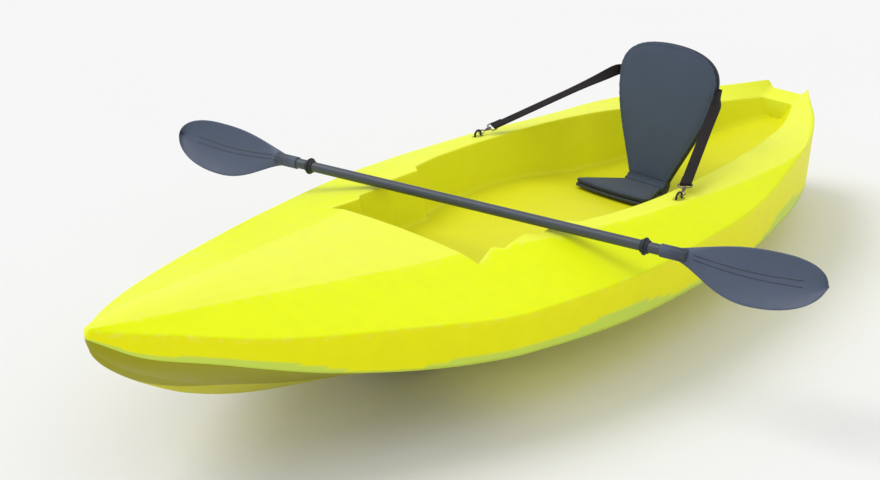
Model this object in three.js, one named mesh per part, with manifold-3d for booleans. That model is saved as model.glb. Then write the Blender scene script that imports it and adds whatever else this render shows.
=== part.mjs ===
// Compact sit-on-top kayak with a folding seat, clip-on seat straps and a double-bladed paddle.
// Millimetres, +X towards the bow, +Y to port, +Z up. The origin is on the ground under mid-length.
import * as THREE from 'three';
import { mergeVertices } from 'three/addons/utils/BufferGeometryUtils.js';
import Module from 'manifold-3d';

const wasm = await Module();
wasm.setup();

// ---- Driving dimensions ----
const HULL_LENGTH = 2186;
const HULL_BEAM = 832;
const GUNWALE_HEIGHT = 242;
const SHELL_WALL = 5;
const SEAM_GAP = 0.4;
const FIT_GAP = 0.5;          // between pieces that touch or pass through each other
const FOAM_GAP = 2;

const WELL_FRONT = 327;
const WELL_TRANSOM_MARGIN = 53;
const WALL_DRAFT = 28;        // how far the foot of the well's wall stands in from its edge
const FOOTREST_PLACES = [62, 169, 261];
const FOOTREST_REACH = 20;
const FOOTREST_RUN = 16;

const EYE_PLACE = -221;
const EYE_HALF_BREADTH = 289;
const EYE_WIRE = 5;
const EYE_RADIUS = 10;
const EYE_STRAIGHT = 4;
const EYE_LEG_BELOW = 17;
const PLATE_THICKNESS = 3;
const NUT_FLATS = 9;
const NUT_HEIGHT = 5;

const SEAT_PLACE = -495;      // the fold between seat and backrest
const SEAT_FOLD_LIFT = 22.3;  // the fold's height above the floor of the well
const RECLINE = THREE.MathUtils.degToRad(13.7);
const BACKREST_HEIGHT = 331;
const BACKREST_HALF_WIDTH = 138;
const BACKREST_FOOT_HALF_WIDTH = 56;
const BACKREST_PAD = 13;
const BACKREST_BOARD = 7;
const SEAT_LENGTH = 146;
const SEAT_HALF_WIDTH = 101;
const SEAT_HEEL_HALF_WIDTH = 52;
const SEAT_SLOPE = THREE.MathUtils.degToRad(10);
const SEAT_PAD = 13;
const SEAT_BASE = 7;
const HINGE_PIN = 4;
const HINGE_KNUCKLE = 9;
const HINGE_HALF_WIDTH = 40;
const PAD_START = 12;         // how far from the fold the pads begin
const BOARD_START = -3;       // the boards reach just past the fold, to carry the hinge

const WEBBING_WIDTH = 25;
const WEBBING_THICKNESS = 2.4;
const STRAP_HEIGHT_ON_BACK = 240;

const SNAP_RING_RADIUS = 7;
const SNAP_WIRE = 3;
const SNAP_SHANK = 3.4;
const SWIVEL_BARREL = 8;
const SWIVEL_LENGTH = 8;
const FRAME_WIRE = 3.4;
const FRAME_OPENING = 9;

const PADDLE_LENGTH = 1564;
const PADDLE_PLACE = 158;     // the paddle's middle
const PADDLE_SIDEWAYS = 29;   // how far it lies towards port
const PADDLE_SKEW = THREE.MathUtils.degToRad(10.4);
const SHAFT_DIAMETER = 22;
const SHAFT_WALL = 2;
const BLADE_LENGTH = 340;
const BLADE_WIDE_SIDE = 66;
const BLADE_NARROW_SIDE = 48;
const BLADE_THICKNESS = 5;
const BLADE_PITCH = THREE.MathUtils.degToRad(60);
const SOCKET_LENGTH = 46;
const SOCKET_WALL = 2.6;
const RING_DIAMETER = 36;
const RING_THICKNESS = 5;
const RING_FROM_SOCKET = 34;

const PLUG_HEIGHT = 150;
const PLUG_HEAD = 30;
const PLUG_STEM = 15;
const SOCKET_FLANGE = 38;

// ---- Finishes ----
const finish = (color, roughness, metalness = 0) => new THREE.MeshStandardMaterial({ color, roughness, metalness });
const FINISH = {
  yellow: finish(0xebf500, 0.42),
  foam: finish(0xe8e8e2, 0.95),
  slate: finish(0x4c5769, 0.7),
  slateDark: finish(0x313944, 0.6),
  webbing: finish(0x231f20, 0.9),
  black: finish(0x1d1b1c, 0.5),
  steel: finish(0x8c8488, 0.35, 1),
};

// ---- Solids ----
function solid(geometry) {
  const bare = geometry.clone();
  bare.deleteAttribute('normal');
  bare.deleteAttribute('uv');
  const merged = mergeVertices(bare, 1e-4);
  const index = merged.index.array;
  const triangles = [];
  for (let i = 0; i < index.length; i += 3) {
    const [a, b, c] = index.slice(i, i + 3);
    if (a !== b && b !== c && c !== a) triangles.push(a, b, c);
  }
  return new wasm.Manifold(new wasm.Mesh({
    numProp: 3,
    vertProperties: new Float32Array(merged.attributes.position.array),
    triVerts: new Uint32Array(triangles),
  }));
}

function geometryOf(manifold) {
  const { vertProperties, triVerts } = manifold.getMesh();
  const geometry = new THREE.BufferGeometry();
  geometry.setAttribute('position', new THREE.BufferAttribute(new Float32Array(vertProperties), 3));
  geometry.setIndex(new THREE.BufferAttribute(new Uint32Array(triVerts), 1));
  geometry.computeVertexNormals();
  return geometry;
}

const kayak = new THREE.Group();

function add(name, shape, material, parent = kayak) {
  const geometry = shape.isBufferGeometry ? shape : geometryOf(shape);
  const mesh = new THREE.Mesh(geometry, material);
  mesh.name = name;
  parent.add(mesh);
  return mesh;
}

const placed = (geometry, matrix) => geometry.clone().applyMatrix4(matrix);

// Cylinder or tapered cylinder from one point to another.
function rod(from, to, diameter, sides = 16, endDiameter = diameter) {
  const a = new THREE.Vector3(...from);
  const b = new THREE.Vector3(...to);
  const geometry = new THREE.CylinderGeometry(endDiameter / 2, diameter / 2, a.distanceTo(b), sides);
  const turn = new THREE.Quaternion().setFromUnitVectors(new THREE.Vector3(0, 1, 0), b.clone().sub(a).normalize());
  geometry.applyQuaternion(turn);
  return geometry.translate(...a.add(b).multiplyScalar(0.5).toArray());
}

// Round wire along a curve.
function wire(curve, diameter, steps, sides = 8) {
  const section = new THREE.Shape().absarc(0, 0, diameter / 2, 0, 2 * Math.PI);
  return new THREE.ExtrudeGeometry(section, { steps, curveSegments: sides / 2, extrudePath: curve });
}

// Closed body through rings of points that all have the same count; the rings run counter-clockwise
// when seen from the last ring's side.
function loft(rings) {
  const count = rings[0].length;
  const positions = rings.flat().flatMap((point) => [point.x, point.y, point.z]);
  const index = [];
  for (let i = 0; i + 1 < rings.length; i += 1) {
    for (let j = 0; j < count; j += 1) {
      const k = (j + 1) % count;
      const a = i * count;
      const b = a + count;
      index.push(a + j, a + k, b + j, b + j, a + k, b + k);
    }
  }
  const last = (rings.length - 1) * count;
  for (const [a, b, c] of capTriangles(rings[0])) index.push(a, c, b);
  for (const [a, b, c] of capTriangles(rings.at(-1))) index.push(last + a, last + b, last + c);
  const geometry = new THREE.BufferGeometry();
  geometry.setAttribute('position', new THREE.Float32BufferAttribute(positions, 3));
  geometry.setIndex(index);
  return geometry;
}

function capTriangles(ring) {
  const centre = ring.reduce((sum, p) => sum.add(p), new THREE.Vector3()).divideScalar(ring.length);
  const across = ring[0].clone().sub(centre).normalize();
  const normal = new THREE.Vector3();
  ring.forEach((p, i) => {
    const q = ring[(i + 1) % ring.length];
    normal.add(p.clone().sub(centre).cross(q.clone().sub(centre)));
  });
  const up = normal.normalize().cross(across);
  const flat = ring.map((p) => new THREE.Vector2(p.clone().sub(centre).dot(across), p.clone().sub(centre).dot(up)));
  return THREE.ShapeUtils.triangulateShape(flat, []);
}

// Smooth line through [station, value] points listed from bow to stern. It never overshoots its points.
function line(points) {
  const last = points.length - 1;
  const secant = (i) => (points[i + 1][1] - points[i][1]) / (points[i + 1][0] - points[i][0]);
  const slope = (i) => {
    if (i === 0) return secant(0);
    if (i === last) return secant(last - 1);
    const [before, after] = [secant(i - 1), secant(i)];
    return before * after > 0 ? (2 * before * after) / (before + after) : 0;
  };
  return (x) => {
    const next = points.findIndex(([px]) => px <= x);
    const i = next < 0 ? last - 1 : Math.max(next - 1, 0);
    const [x0, y0] = points[i];
    const [x1, y1] = points[i + 1];
    const h = x1 - x0;
    const t = Math.min(Math.max((x - x0) / h, 0), 1);
    const rest = 1 - t;
    return y0 * rest * rest * (1 + 2 * t) + y1 * t * t * (3 - 2 * t)
      + slope(i) * h * t * rest * rest - slope(i + 1) * h * t * t * rest;
  };
}

// ---- Hull lines ----
// Stations run from 1 at the stem to -1 at the transom. Half-breadths are shares of half the beam,
// heights are shares of the gunwale's height amidships.
const gunwaleBreadth = line([[1, 0.02], [0.9, 0.218], [0.757, 0.457], [0.537, 0.712], [0.3175, 0.911],
  [0.025, 1], [-0.268, 0.95], [-0.561, 0.765], [-0.762, 0.565], [-0.872, 0.4], [-0.94, 0.27], [-1, 0.155]]);
const gunwaleRise = line([[1, 1.4], [0.9, 1.335], [0.757, 1.215], [0.537, 1.1], [0.3175, 1.008],
  [0, 1], [-0.41, 1.003], [-0.671, 1.075], [-0.872, 1.075], [-1, 1.03]]);
const keelRise = line([[1, 1.3], [0.992, 1.2], [0.96, 1.03], [0.885, 0.777], [0.805, 0.57], [0.698, 0.384],
  [0.583, 0.25], [0.448, 0.13], [0.3, 0.02], [0.2, 0], [-0.7, 0], [-0.85, 0.04], [-1, 0.17]]);
const seamRise = line([[1, 1.34], [0.93, 1.16], [0.84, 1.058], [0.656, 0.826], [0.47, 0.675],
  [0.2, 0.587], [-0.26, 0.52], [-1, 0.42]]);
const ridgeBreadth = line([[1, 0.012], [0.93, 0.07], [0.786, 0.149], [0.491, 0.303], [0.345, 0.375],
  [0.24, 0.45], [0.1, 0.62], [-0.122, 0.722], [-0.3, 0.742], [-0.561, 0.718], [-0.671, 0.662],
  [-0.762, 0.545], [-0.872, 0.375], [-0.94, 0.25], [-1, 0.135]]);
const ridgeRise = line([[1, 1.425], [0.93, 1.417], [0.786, 1.368], [0.491, 1.264], [0.345, 1.218],
  [0.1, 1.212], [-0.122, 1.19], [-0.3, 1.14], [-0.561, 1.087], [-0.762, 1.08], [-0.872, 1.09], [-1, 1.14]]);
const crownRise = line([[1, 1.425], [0.93, 1.43], [0.786, 1.4], [0.491, 1.29], [0.3, 1.24],
  [0.1, 1.232], [-0.16, 1.19], [-0.341, 1.17], [-0.534, 1.132], [-0.68, 1.074], [-0.826, 1.0],
  [-0.95, 0.99], [-1, 1.065]]);
// The bottom is flat along the keel and rises to the seam as a shallow V. Breadths are shares of the
// seam's half-breadth, and rises are shares of the seam's height above the keel.
const flatBreadth = line([[1, 0.3], [0.75, 0.26], [0.5, 0.28], [0.3, 0.22], [-0.6, 0.26], [-1, 0.4]]);
const flatRise = line([[1, 0.3], [0.75, 0.3], [0.5, 0.32], [0.3, 0.05], [0.2, 0], [-0.7, 0], [-1, 0.06]]);
const bilgeBreadth = line([[1, 0.9], [0.75, 0.55], [0.5, 0.5], [0.3, 0.45], [-0.6, 0.5], [-1, 0.8]]);
const bilgeRise = line([[1, 0.5], [0.75, 0.6], [0.5, 0.58], [0.3, 0.35], [0.2, 0.28], [-0.7, 0.25], [-1, 0.25]]);

const halfLength = HULL_LENGTH / 2;
const halfBeam = HULL_BEAM / 2;
const wellEnd = WELL_TRANSOM_MARGIN - halfLength;
const BILGE_STEPS = 3;
const SEAM_FLARE = 0.95;      // the seam's half-breadth as a share of the gunwale's

// Half of the hull's section, from the keel out to the gunwale and in to the centre of the deck.
function halfSection(station) {
  const keel = keelRise(station) * GUNWALE_HEIGHT;
  const gunwale = gunwaleBreadth(station) * halfBeam;
  const seam = [gunwale * SEAM_FLARE, seamRise(station) * GUNWALE_HEIGHT];
  const drop = seam[1] - keel;
  const chine = [seam[0] * flatBreadth(station), keel + drop * flatRise(station)];
  const corner = [seam[0] * bilgeBreadth(station), keel + drop * bilgeRise(station)];
  const bilge = [];
  for (let i = 1; i <= BILGE_STEPS; i += 1) {
    const t = i / (BILGE_STEPS + 1);
    bilge.push([0, 1].map((k) => chine[k] * (1 - t) ** 2 + corner[k] * 2 * t * (1 - t) + seam[k] * t * t));
  }
  const ridge = [ridgeBreadth(station) * halfBeam, ridgeRise(station) * GUNWALE_HEIGHT];
  const crown = crownRise(station) * GUNWALE_HEIGHT;
  const x = station * halfLength;
  const open = THREE.MathUtils.smoothstep(-x, -WELL_FRONT, 0);
  const rim = [
    Math.min(THREE.MathUtils.lerp(ridge[0] * 0.5, rimLine(x), open), ridge[0] - 4),
    THREE.MathUtils.lerp(ridge[1] + (crown - ridge[1]) * 0.75, crown, open),
  ];
  return [[0, keel], chine, ...bilge, seam, [gunwale, gunwaleRise(station) * GUNWALE_HEIGHT], ridge, rim, [0, crown]];
}

// Whole ring at one station, moved inwards by an inset.
function ring(half, x, inset = 0) {
  const mirrored = half.slice(1, -1).reverse().map(([y, z]) => [-y, z]);
  const outline = [...half, ...mirrored];
  return outline.map((point, i) => {
    const before = outline.at(i - 1);
    const after = outline[(i + 1) % outline.length];
    const edge = [after[0] - before[0], after[1] - before[1]];
    const size = Math.hypot(...edge) || 1;
    return new THREE.Vector3(x, point[0] - (inset * edge[1]) / size, point[1] + (inset * edge[0]) / size);
  });
}

function hullLoft(from, to, steps, inset = 0) {
  const rings = [];
  for (let i = 0; i <= steps; i += 1) {
    const station = from + ((to - from) * i) / steps;
    rings.push(ring(halfSection(station), station * halfLength, inset));
  }
  return loft(rings);
}

// ---- Well ----
// The well's lines are drawn to WELL_DRAWN_END. A longer hull stretches them behind the seat.
const WELL_DRAWN_END = -1040;
const WELL_STRETCH_FROM = -620;
const wellStretch = (WELL_DRAWN_END - WELL_STRETCH_FROM) / (wellEnd - WELL_STRETCH_FROM);
const wellX = (x) => (x < WELL_STRETCH_FROM ? WELL_STRETCH_FROM + (x - WELL_STRETCH_FROM) * wellStretch : x);
const edgeLine = line([[340, 211], [245, 206], [153, 214], [46, 232], [-60, 249], [-183, 254], [-343, 247],
  [-503, 229], [-663, 193], [-823, 142], [-983, 76], [WELL_DRAWN_END, 46]]);
const floorLine = line([[340, 168], [200, 182], [0, 187], [-133, 186], [-250, 181], [-350, 169], [-480, 149],
  [-600, 146], [-750, 158], [-900, 174], [WELL_DRAWN_END, 194]]);
const DRAWN_BEAM = 832;
const DRAWN_GUNWALE_HEIGHT = 242;
const rimLine = (x) => (edgeLine(wellX(x)) * HULL_BEAM) / DRAWN_BEAM;
const floorHeight = (x) => (floorLine(wellX(x)) * GUNWALE_HEIGHT) / DRAWN_GUNWALE_HEIGHT;

// Half-breadth of the well's edge: footrests stand in from it in steps that face aft.
function wellEdge(x) {
  let reach = 0;
  let ahead = WELL_FRONT;
  for (const place of [...FOOTREST_PLACES].reverse()) {
    if (x >= place && x < ahead) reach = (ahead - x) / (ahead - place);
    if (x < place && x > place - FOOTREST_RUN) reach = 1 - (place - x) / FOOTREST_RUN;
    ahead = place - FOOTREST_RUN;
  }
  return rimLine(x) - reach * FOOTREST_REACH;
}

const WELL_HEADROOM = 70;
const FLOOR_FILLET = 14;

function wellHalf(x, offset) {
  const top = crownRise(x / halfLength) * GUNWALE_HEIGHT;
  const floor = floorHeight(x);
  const edge = wellEdge(x) + offset;
  const foot = Math.max(edge - WALL_DRAFT, 12);
  const slope = (edge - foot) / (top - floor);
  const z = floor - offset;
  return [[0, z], [foot - FLOOR_FILLET * 0.8, z], [foot - FLOOR_FILLET * 0.2, z + FLOOR_FILLET * 0.25],
    [foot + slope * FLOOR_FILLET, z + FLOOR_FILLET], [edge, top], [edge, top + WELL_HEADROOM], [0, top + WELL_HEADROOM]];
}

function wellStations() {
  const stations = [WELL_FRONT];
  for (const place of [...FOOTREST_PLACES].reverse()) stations.push(place, place - FOOTREST_RUN);
  const last = stations.at(-1);
  const WELL_SPACING = 78;
  const count = Math.ceil((last - wellEnd) / WELL_SPACING);
  for (let i = 1; i <= count; i += 1) stations.push(last + ((wellEnd - last) * i) / count);
  return stations.reverse();
}

function wellLoft(offset) {
  const stations = wellStations();
  return loft(stations.map((x, i) => {
    const beyond = i === 0 ? -offset : i === stations.length - 1 ? offset : 0;
    return ring(wellHalf(x, offset), x + beyond);
  }));
}

// Everything below the seam, as one block with the seam's sheer for its top.
function belowSeam(lift) {
  const beyond = halfLength + 20;
  const seamAt = (station) => seamRise(station) * GUNWALE_HEIGHT + lift;
  const STEPS = 16;
  const profile = new THREE.Shape();
  profile.moveTo(beyond, -50);
  profile.lineTo(-beyond, -50);
  profile.lineTo(-beyond, seamAt(-1));
  for (let i = 0; i <= STEPS; i += 1) {
    const station = -1 + (2 * i) / STEPS;
    profile.lineTo(station * halfLength, seamAt(station));
  }
  profile.lineTo(beyond, seamAt(1));
  const block = new THREE.ExtrudeGeometry(profile, { depth: HULL_BEAM + 40, bevelEnabled: false });
  block.rotateX(Math.PI / 2);
  return block.translate(0, halfBeam + 20, 0);
}

const HULL_STEPS = 28;
const INNER_STEM = 0.9;
const outerHull = solid(hullLoft(-1, 1, HULL_STEPS));
const innerHull = solid(hullLoft(-1 + SHELL_WALL / halfLength, INNER_STEM, HULL_STEPS - 6, SHELL_WALL));
const skin = outerHull.subtract(innerHull);
const wellTub = solid(wellLoft(SHELL_WALL)).intersect(outerHull);

// ---- Frames of reference for the fittings ----
const SIDES = { port: 1, starboard: -1 };

// Height of the deck's outer surface above a point between the ridge and the gunwale or the rim.
function deckHeight(x, y) {
  const top = halfSection(x / halfLength).slice(-4);
  for (let i = 0; i + 1 < top.length; i += 1) {
    const [y0, z0] = top[i];
    const [y1, z1] = top[i + 1];
    if (Math.abs(y) <= y0 && Math.abs(y) >= y1) return z0 + ((z1 - z0) * (y0 - Math.abs(y))) / (y0 - y1);
  }
  return top.at(-1)[1];
}

const eyeDeck = deckHeight(EYE_PLACE, EYE_HALF_BREADTH);
const eyeLegs = [EYE_PLACE + EYE_RADIUS, EYE_PLACE - EYE_RADIUS];

// ---- Deck shell and hull shell ----
const TRANSOM_X = -halfLength;
let deck = skin.subtract(solid(belowSeam(SEAM_GAP / 2))).add(wellTub).subtract(solid(wellLoft(0)));
for (const side of Object.values(SIDES)) {
  for (const x of eyeLegs) {
    const y = side * EYE_HALF_BREADTH;
    deck = deck.subtract(solid(rod([x, y, eyeDeck - 40], [x, y, eyeDeck + 30], EYE_WIRE + 2 * FIT_GAP)));
  }
}
const socketBore = SOCKET_FLANGE - 12;
deck = deck.subtract(solid(rod([TRANSOM_X - 10, 0, PLUG_HEIGHT], [TRANSOM_X + 20, 0, PLUG_HEIGHT], socketBore, 24)));
add('deck_shell', deck, FINISH.yellow);
add('hull_shell', skin.intersect(solid(belowSeam(-SEAM_GAP / 2))), FINISH.yellow);

// ---- Buoyancy foam inside the hull ----
const FOAM_SHARE = 0.82;      // the foam's height as a share of the hull's
const FOAM_HALF_WIDTH = 60;   // each block is an upright pillar on the centreline
function foamBlock(from, to) {
  const rings = [];
  const STEPS = 4;
  for (let i = 0; i <= STEPS; i += 1) {
    const station = from + ((to - from) * i) / STEPS;
    const section = halfSection(station);
    const middle = (section[0][1] + section.at(-1)[1]) / 2;
    const share = Math.min(FOAM_SHARE, FOAM_HALF_WIDTH / Math.max(...section.map(([y]) => y)));
    const shrunk = section.map(([y, z]) => [y * share, middle + (z - middle) * FOAM_SHARE]);
    rings.push(ring(shrunk, station * halfLength));
  }
  return solid(loft(rings));
}
add('bow_foam', foamBlock(0.4, 0.74), FINISH.foam);
add('stern_foam', foamBlock(-0.9, -0.62).subtract(solid(wellLoft(SHELL_WALL + FOAM_GAP))), FINISH.foam);

const SEAT_FOAM = { from: -600, to: -300, halfWidth: FOAM_HALF_WIDTH };
function seatFoam() {
  const profile = new THREE.Shape();
  const bottom = SHELL_WALL + FIT_GAP;
  profile.moveTo(SEAT_FOAM.from, bottom);
  profile.lineTo(SEAT_FOAM.to, bottom);
  const STEPS = 4;
  for (let i = STEPS; i >= 0; i -= 1) {
    const x = SEAT_FOAM.from + ((SEAT_FOAM.to - SEAT_FOAM.from) * i) / STEPS;
    profile.lineTo(x, floorHeight(x) - SHELL_WALL - FOAM_GAP - 1);
  }
  const block = new THREE.ExtrudeGeometry(profile, { depth: 2 * SEAT_FOAM.halfWidth, bevelEnabled: false });
  block.rotateX(Math.PI / 2);
  return block.translate(0, SEAT_FOAM.halfWidth, 0);
}
add('seat_foam', seatFoam(), FINISH.foam);

// ---- Drain plug in the transom ----
function turnedAft(profile, x, segments = 20) {
  const lathe = new THREE.LatheGeometry(profile.map(([r, d]) => new THREE.Vector2(r, d)), segments);
  lathe.rotateZ(Math.PI / 2);
  return lathe.translate(x, 0, PLUG_HEIGHT);
}
const socketFlangeThickness = 2.5;
const socketDepth = 18;
const stemBore = PLUG_STEM / 2 + FIT_GAP;
const barrelRadius = socketBore / 2 - FIT_GAP;
add('drain_socket', turnedAft([
  [stemBore, -socketDepth], [barrelRadius, -socketDepth], [barrelRadius, FIT_GAP],
  [SOCKET_FLANGE / 2, FIT_GAP], [SOCKET_FLANGE / 2, FIT_GAP + socketFlangeThickness],
  [stemBore, FIT_GAP + socketFlangeThickness], [stemBore, -socketDepth],
], TRANSOM_X), FINISH.black);
const gasketBase = 2 * FIT_GAP + socketFlangeThickness;
const gasketHeight = 2;
const gasketBore = PLUG_STEM / 2 + FIT_GAP;
add('drain_gasket', turnedAft([
  [gasketBore, gasketBase], [PLUG_HEAD / 2 - 3, gasketBase], [PLUG_HEAD / 2 - 3, gasketBase + gasketHeight],
  [gasketBore, gasketBase + gasketHeight], [gasketBore, gasketBase],
], TRANSOM_X), FINISH.slateDark);
const headBase = gasketBase + gasketHeight + FIT_GAP;
const plugBody = solid(turnedAft([
  [0, -14], [PLUG_STEM / 2 - 1, -14], [PLUG_STEM / 2, -12], [PLUG_STEM / 2, headBase], [PLUG_HEAD / 2, headBase],
  [PLUG_HEAD / 2, headBase + 4], [PLUG_HEAD / 2 - 2, headBase + 6], [0, headBase + 6],
], TRANSOM_X));
const gripBar = new THREE.BoxGeometry(9, 22, 5).translate(TRANSOM_X - headBase - 9.5, 0, PLUG_HEIGHT);
add('drain_plug', plugBody.add(solid(gripBar)), FINISH.black);

// ---- Deck eyes: bent wire through the deck, held by a plate and two nuts inside ----
class EyeCurve extends THREE.Curve {
  getPoint(t, target = new THREE.Vector3()) {
    const straight = EYE_STRAIGHT + EYE_LEG_BELOW;
    const arc = Math.PI * EYE_RADIUS;
    const along = t * (2 * straight + arc);
    if (along < straight) return target.set(EYE_RADIUS, 0, along - EYE_LEG_BELOW);
    if (along > straight + arc) return target.set(-EYE_RADIUS, 0, EYE_STRAIGHT - (along - straight - arc));
    const angle = (along - straight) / EYE_RADIUS;
    return target.set(EYE_RADIUS * Math.cos(angle), 0, EYE_STRAIGHT + EYE_RADIUS * Math.sin(angle));
  }
}
const eyeShape = wire(new EyeCurve(), EYE_WIRE, 16, 10);
const plateTop = eyeDeck - SHELL_WALL - 6.5;
for (const [name, side] of Object.entries(SIDES)) {
  const y = side * EYE_HALF_BREADTH;
  add(`deck_eye_${name}`, eyeShape.clone(), FINISH.black).position.set(EYE_PLACE, y, eyeDeck);
  let plate = solid(new THREE.BoxGeometry(40, 16, PLATE_THICKNESS).translate(EYE_PLACE, y, plateTop - PLATE_THICKNESS / 2));
  for (const x of eyeLegs) {
    plate = plate.subtract(solid(rod([x, y, plateTop - 10], [x, y, plateTop + 5], EYE_WIRE + 2 * FIT_GAP, 12)));
  }
  add(`eye_plate_${name}`, plate, FINISH.steel);
  eyeLegs.forEach((x, i) => {
    const top = plateTop - PLATE_THICKNESS - FIT_GAP;
    const nut = solid(rod([x, y, top - NUT_HEIGHT], [x, y, top], (NUT_FLATS * 2) / Math.sqrt(3), 6))
      .subtract(solid(rod([x, y, top - 10], [x, y, top + 5], EYE_WIRE + 2 * FIT_GAP, 12)));
    add(`eye_nut_${name}_${i === 0 ? 'fore' : 'aft'}`, nut, FINISH.steel);
  });
}

// ---- Folding seat ----
// Outlines are drawn flat: the seat's from the fold forwards, the backrest's from the fold upwards.
function backrestOutline(start, scale = 1) {
  const wide = BACKREST_HALF_WIDTH * scale;
  const foot = BACKREST_FOOT_HALF_WIDTH * scale;
  const top = BACKREST_HEIGHT;
  const shape = new THREE.Shape();
  shape.moveTo(-foot, start);
  shape.lineTo(foot, start);
  shape.bezierCurveTo(foot + 30, top * 0.25, wide, top * 0.5, wide, top * 0.76);
  shape.bezierCurveTo(wide, top * 0.92, wide * 0.62, top, 0, top);
  shape.bezierCurveTo(-wide * 0.62, top, -wide, top * 0.92, -wide, top * 0.76);
  shape.bezierCurveTo(-wide, top * 0.5, -foot - 30, top * 0.25, -foot, start);
  return shape;
}

function seatOutline(start) {
  const corner = 26;
  const front = SEAT_LENGTH;
  const shape = new THREE.Shape();
  shape.moveTo(-SEAT_HEEL_HALF_WIDTH, start);
  shape.lineTo(SEAT_HEEL_HALF_WIDTH, start);
  shape.lineTo(SEAT_HALF_WIDTH, front - corner);
  shape.quadraticCurveTo(SEAT_HALF_WIDTH + 3, front - 4, SEAT_HALF_WIDTH - corner, front);
  shape.quadraticCurveTo(0, front + 10, corner - SEAT_HALF_WIDTH, front);
  shape.quadraticCurveTo(-SEAT_HALF_WIDTH - 3, front - 4, -SEAT_HALF_WIDTH, front - corner);
  shape.lineTo(-SEAT_HEEL_HALF_WIDTH, start);
  return shape;
}

const foldPoint = new THREE.Vector3(SEAT_PLACE, 0, floorHeight(SEAT_PLACE) + SEAT_FOLD_LIFT);
const across = new THREE.Vector3(0, 1, 0);
const backUp = new THREE.Vector3(-Math.sin(RECLINE), 0, Math.cos(RECLINE));
const backFront = new THREE.Vector3(Math.cos(RECLINE), 0, Math.sin(RECLINE));
const seatForward = new THREE.Vector3(Math.cos(SEAT_SLOPE), 0, Math.sin(SEAT_SLOPE));
const seatUp = new THREE.Vector3(-Math.sin(SEAT_SLOPE), 0, Math.cos(SEAT_SLOPE));

// Slab between two depths behind the face of the backrest, or below the top of the seat.
function slab(outline, right, up, out, near, far, segments = 7) {
  const geometry = new THREE.ExtrudeGeometry(outline, { depth: far - near, bevelEnabled: false, curveSegments: segments });
  geometry.translate(0, 0, -far);
  const basis = new THREE.Matrix4().makeBasis(right, up, out).setPosition(foldPoint);
  return geometry.applyMatrix4(basis);
}
const starboardwards = across.clone().negate();

const boardFront = BACKREST_PAD + FIT_GAP;
const boardBack = boardFront + BACKREST_BOARD;
const baseTop = SEAT_PAD + FIT_GAP;
const baseBottom = baseTop + SEAT_BASE;

add('backrest_pad', slab(backrestOutline(PAD_START), across, backUp, backFront, 0, BACKREST_PAD), FINISH.slate);
add('seat_pad', slab(seatOutline(PAD_START), starboardwards, seatForward, seatUp, 0, SEAT_PAD), FINISH.slate);

// Hinge along the fold: the base has the two outer knuckles and the backrest's board has the middle one.
const knuckleGap = 1;
const knuckleThird = HINGE_HALF_WIDTH / 2.2;
const onHinge = (y) => [foldPoint.x, y, foldPoint.z];
const hingeBore = solid(rod(onHinge(-60), onHinge(60), HINGE_PIN + 2 * FIT_GAP, 12));
const hingeClear = (from, to) => solid(rod(onHinge(from), onHinge(to), HINGE_KNUCKLE + 2 * knuckleGap, 16));

// Web from a knuckle to its board.
function leaf(towards, reach, y0, y1) {
  const box = new THREE.BoxGeometry(reach, y1 - y0, 5).translate(reach / 2, (y0 + y1) / 2, 0);
  const frame = new THREE.Matrix4().makeBasis(towards, across, towards.clone().cross(across)).setPosition(foldPoint);
  return placed(box, frame);
}

const backwards = backFront.clone().negate();
const downwards = seatUp.clone().negate();
let board = solid(slab(backrestOutline(BOARD_START, 0.985), across, backUp, backFront, boardFront, boardBack))
  .add(solid(leaf(backwards, boardFront + 2, -knuckleThird, knuckleThird)))
  .add(solid(rod(onHinge(-knuckleThird), onHinge(knuckleThird), HINGE_KNUCKLE)))
  .subtract(hingeBore);

let base = solid(slab(seatOutline(BOARD_START), starboardwards, seatForward, seatUp, baseTop, baseBottom));
for (const side of [1, -1]) {
  const inner = knuckleThird + knuckleGap;
  const y0 = side > 0 ? inner : -HINGE_HALF_WIDTH;
  const y1 = side > 0 ? HINGE_HALF_WIDTH : -inner;
  base = base.add(solid(leaf(downwards, baseTop + 2, y0, y1)));
  base = base.add(solid(rod(onHinge(y0), onHinge(y1), HINGE_KNUCKLE)));
}
base = base.subtract(hingeClear(-knuckleThird - knuckleGap, knuckleThird + knuckleGap)).subtract(hingeBore);
add('seat_base', base, FINISH.slateDark);
const pinHead = 7;
const pin = solid(rod(onHinge(-HINGE_HALF_WIDTH - 2), onHinge(HINGE_HALF_WIDTH + 1), HINGE_PIN, 12))
  .add(solid(rod(onHinge(HINGE_HALF_WIDTH + FIT_GAP), onHinge(HINGE_HALF_WIDTH + 2.5), pinHead, 12)))
  .add(solid(rod(onHinge(-HINGE_HALF_WIDTH - 2.5), onHinge(-HINGE_HALF_WIDTH - FIT_GAP), pinHead, 12)));
add('seat_hinge_pin', pin, FINISH.steel);

// ---- Straps, from keepers behind the backrest to the snaps on the deck eyes ----
function backPoint(y, height, depth) {
  return foldPoint.clone().addScaledVector(across, y).addScaledVector(backUp, height).addScaledVector(backFront, -depth);
}

// Flat webbing whose width turns from one direction to another along its way.
function ribbon(curve, widths, steps, width, thickness) {
  const rings = [];
  for (let i = 0; i <= steps; i += 1) {
    const t = i / steps;
    const along = curve.getTangent(t);
    const wide = widths(t).clone();
    wide.addScaledVector(along, -wide.dot(along)).normalize();
    const thin = along.clone().cross(wide);
    const point = curve.getPoint(t);
    rings.push([[1, 1], [-1, 1], [-1, -1], [1, -1]].map(([a, b]) => point.clone()
      .addScaledVector(wide, (a * width) / 2).addScaledVector(thin, (b * thickness) / 2)));
  }
  return loft(rings);
}

const strapDepth = boardBack + FIT_GAP + WEBBING_THICKNESS / 2;
const edgeAtStrap = BACKREST_HALF_WIDTH;
const shoulderAngle = Math.asin(0.32);
const screwPlaces = [];

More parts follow.
